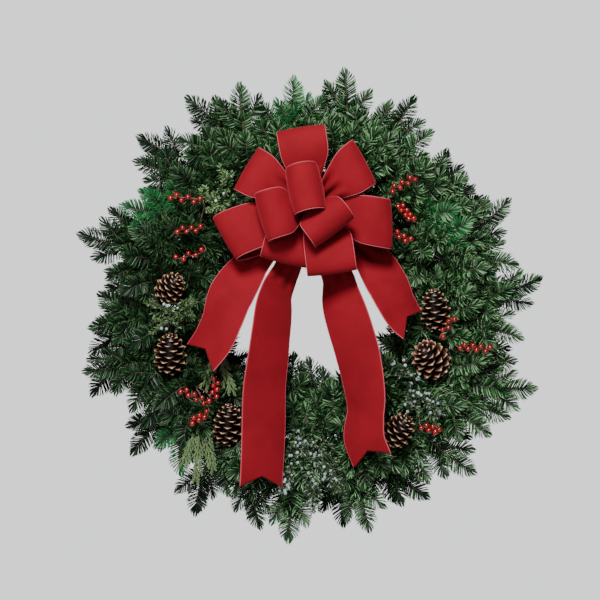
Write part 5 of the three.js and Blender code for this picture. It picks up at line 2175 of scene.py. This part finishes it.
@dataclass
class WireFrame:
    """The ring with a clamp round each bunch of stems, and the loop that it hangs from."""

    clamps: int = 18
    clamp_wire: float = 1.1
    clamp_bend: float = 2.2
    hook_depth: float = -8.0
    hook_height: float = 203.0
    hanger_radius: float = 10.0
    hanger_wire: float = 1.0
    link_radius: float = 3.8

    def clamp(self, draft: Draft, degrees: float) -> None:
        """Adds a clamp: from behind the ring up both sides of the bunch, and bent over its front.

        Args:
            draft: The mesh.
            degrees: Its angle round the ring.
        """
        half = BUNCH_RADIUS + 0.3 + self.clamp_wire
        front = BUNCH_DEPTH - half
        corners = ((-2.4, front), (-half, front + 0.6), (-half, RING_DEPTH - 0.5))
        route = [*corners, *((-across, depth) for across, depth in corners[::-1])]
        points = np.stack([polar(degrees, RING_RADIUS + across, depth) for across, depth in route])
        line = round_corners(points, self.clamp_bend)
        add_tube(draft, line, self.clamp_wire, 10, polar(degrees + 90, 1.0, 0.0), PLAIN_LOOK)

    def build(self) -> None:
        """Builds the frame and the hanging loop."""
        material = WIRE.material()
        ring = Draft()
        add_ring(ring, np.array((0.0, RING_DEPTH, 0.0)), ACROSS, RING_RADIUS, RING_WIRE)
        for index in range(self.clamps):
            self.clamp(ring, index * 360 / self.clamps)
        ring.to_piece("wire_frame_ring", ["wire_frame"], [material], smooth=True)
        hanger = Draft()
        middle = np.array((0.0, self.hook_depth, self.hook_height - self.hanger_radius + self.hanger_wire))
        add_ring(hanger, middle, ACROSS, self.hanger_radius, self.hanger_wire)
        link = np.array((0.0, RING_DEPTH, RING_RADIUS))
        add_ring(hanger, link, -VIEWER, self.link_radius, self.hanger_wire)
        low = link + UP * (self.link_radius - 0.4)
        high = middle - UP * (self.hanger_radius - 0.6)
        add_tube(hanger, np.linspace(low, high, 9), 1.5 * self.hanger_wire, 12, ACROSS, PLAIN_LOOK)
        hanger.to_piece("hanging_loop_wire", ["hanging_loop"], [material], smooth=True)


def round_corners(points: Array, radius: float) -> Array:
    """A line whose inner corners are rounded by a quadratic curve from a point before to one after each.

    Args:
        points: The corner points.
        radius: How far from its corner each curve begins and ends.

    Returns:
        The rounded line.
    """
    t = np.linspace(0, 1, 6)[:, None]
    parts = [points[:1]]
    for before, corner, after in zip(points, points[1:], points[2:]):
        near = min(radius, 0.45 * np.linalg.norm(before - corner), 0.45 * np.linalg.norm(after - corner))
        start = corner + unit(before - corner) * near
        end = corner + unit(after - corner) * near
        parts.append((1 - t) ** 2 * start + 2 * t * (1 - t) * corner + t**2 * end)
    parts.append(points[-1:])
    return np.vstack(parts)



# ---- Surround, light and camera ----


@dataclass(frozen=True)
class Lamp:
    """A square soft light: its place and size in metres and its power in watts."""

    name: str
    place: Place
    size: float
    power: float


LAMPS = (
    Lamp("key light", (-0.25, -2.0, 1.2), 0.7, 100.0),
    Lamp("fill light", (-1.0, -2.5, 0.0), 1.4, 17.0),
    Lamp("back light", (0.6, 2.2, 1.2), 1.4, 45.0),
)


@dataclass
class Studio:
    """A pale floor, soft lights and the camera at the photograph's angle; lengths in metres."""

    camera_distance: float = 2.5
    sensor_mm: float = 36.0
    picture_width: float = 0.8
    picture_middle: Span = (-0.012, -0.1977)
    picture_depth: float = -0.052
    floor_half: float = 7.0
    floor_height: float = -1.75
    lit_point: Place = (0.0, -0.05, -0.2)

    def add_floor(self) -> None:
        """Adds a wide plain floor, at standing height below the wreath."""
        half = self.floor_half
        mesh = bpy.data.meshes.new("floor")
        corners = [(-half, -half), (half, -half), (half, half), (-half, half)]
        mesh.from_pydata([(x, y, self.floor_height) for x, y in corners], [], [(0, 1, 2, 3)])
        bench = Bench("pale floor")
        colour = bench.blend(bench.mottle(1.5, 0.05), (0.74, 0.73, 0.71), (0.8, 0.79, 0.77))
        mesh.materials.append(bench.finish(colour, Roughness=0.7))
        floor = bpy.data.objects.new("floor", mesh)
        bpy.context.scene.collection.objects.link(floor)

    def add_surround(self) -> None:
        """Adds an even pale surround: bright where it is seen, softer as light on the wreath."""
        world = bpy.data.worlds.new("surround")
        world.use_nodes = True
        bpy.context.scene.world = world
        nodes, links = world.node_tree.nodes, world.node_tree.links
        background = nodes["Background"]
        background.inputs["Color"].default_value = (0.86, 0.87, 0.88, 1.0)
        path = nodes.new("ShaderNodeLightPath")
        strength = nodes.new("ShaderNodeMapRange")
        strength.inputs["To Min"].default_value = 0.1
        strength.inputs["To Max"].default_value = 1.5
        links.new(path.outputs["Is Camera Ray"], strength.inputs["Value"])
        links.new(strength.outputs["Result"], background.inputs["Strength"])

    def add_lamp(self, lamp: Lamp) -> None:
        """Adds a lamp that looks at the wreath.

        Args:
            lamp: The lamp.
        """
        data = bpy.data.lights.new(lamp.name, "AREA")
        data.size = lamp.size
        data.energy = lamp.power
        light = bpy.data.objects.new(lamp.name, data)
        light.location = lamp.place
        light.rotation_euler = look_along(np.array(self.lit_point) - np.array(lamp.place))
        bpy.context.scene.collection.objects.link(light)

    def add_camera(self) -> None:
        """Adds the camera, level and square to the wreath, with its middle on the photograph's."""
        data = bpy.data.cameras.new("camera")
        data.sensor_width = self.sensor_mm
        data.lens = self.sensor_mm * self.camera_distance / self.picture_width
        camera = bpy.data.objects.new("camera", data)
        x, z = self.picture_middle
        camera.location = (x, self.picture_depth - self.camera_distance, z)
        camera.rotation_euler = (math.pi / 2, 0.0, 0.0)
        bpy.context.scene.collection.objects.link(camera)
        bpy.context.scene.camera = camera

    def build(self) -> None:
        """Sets the scene up."""
        self.add_camera()
        self.add_floor()
        self.add_surround()
        for lamp in LAMPS:
            self.add_lamp(lamp)


def look_along(way: Array) -> Place:
    """Turns that point an object's -Z along a way, with its own Y upwards."""
    x, y, z = way / np.linalg.norm(way)
    return (math.acos(-z), 0.0, math.atan2(y, x) - math.pi / 2)


# ---- Assembly ----


def write_sizes() -> None:
    """Brings the view layer up to date."""
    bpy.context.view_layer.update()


def main() -> None:
    """Builds the wreath, from what the foliage stays behind to the foliage itself."""
    logging.basicConfig(level=logging.INFO, format="%(name)s: %(message)s")
    Studio().build()
    cover = Cover()
    Bow().build(cover)
    PineCones().build(cover)
    BerryPicks().build(cover)
    WireFrame().build()
    Junipers(cover).build()
    Cedars().build()
    FirBundles(cover).build()
    write_sizes()


if __name__ == "__main__":
    main()
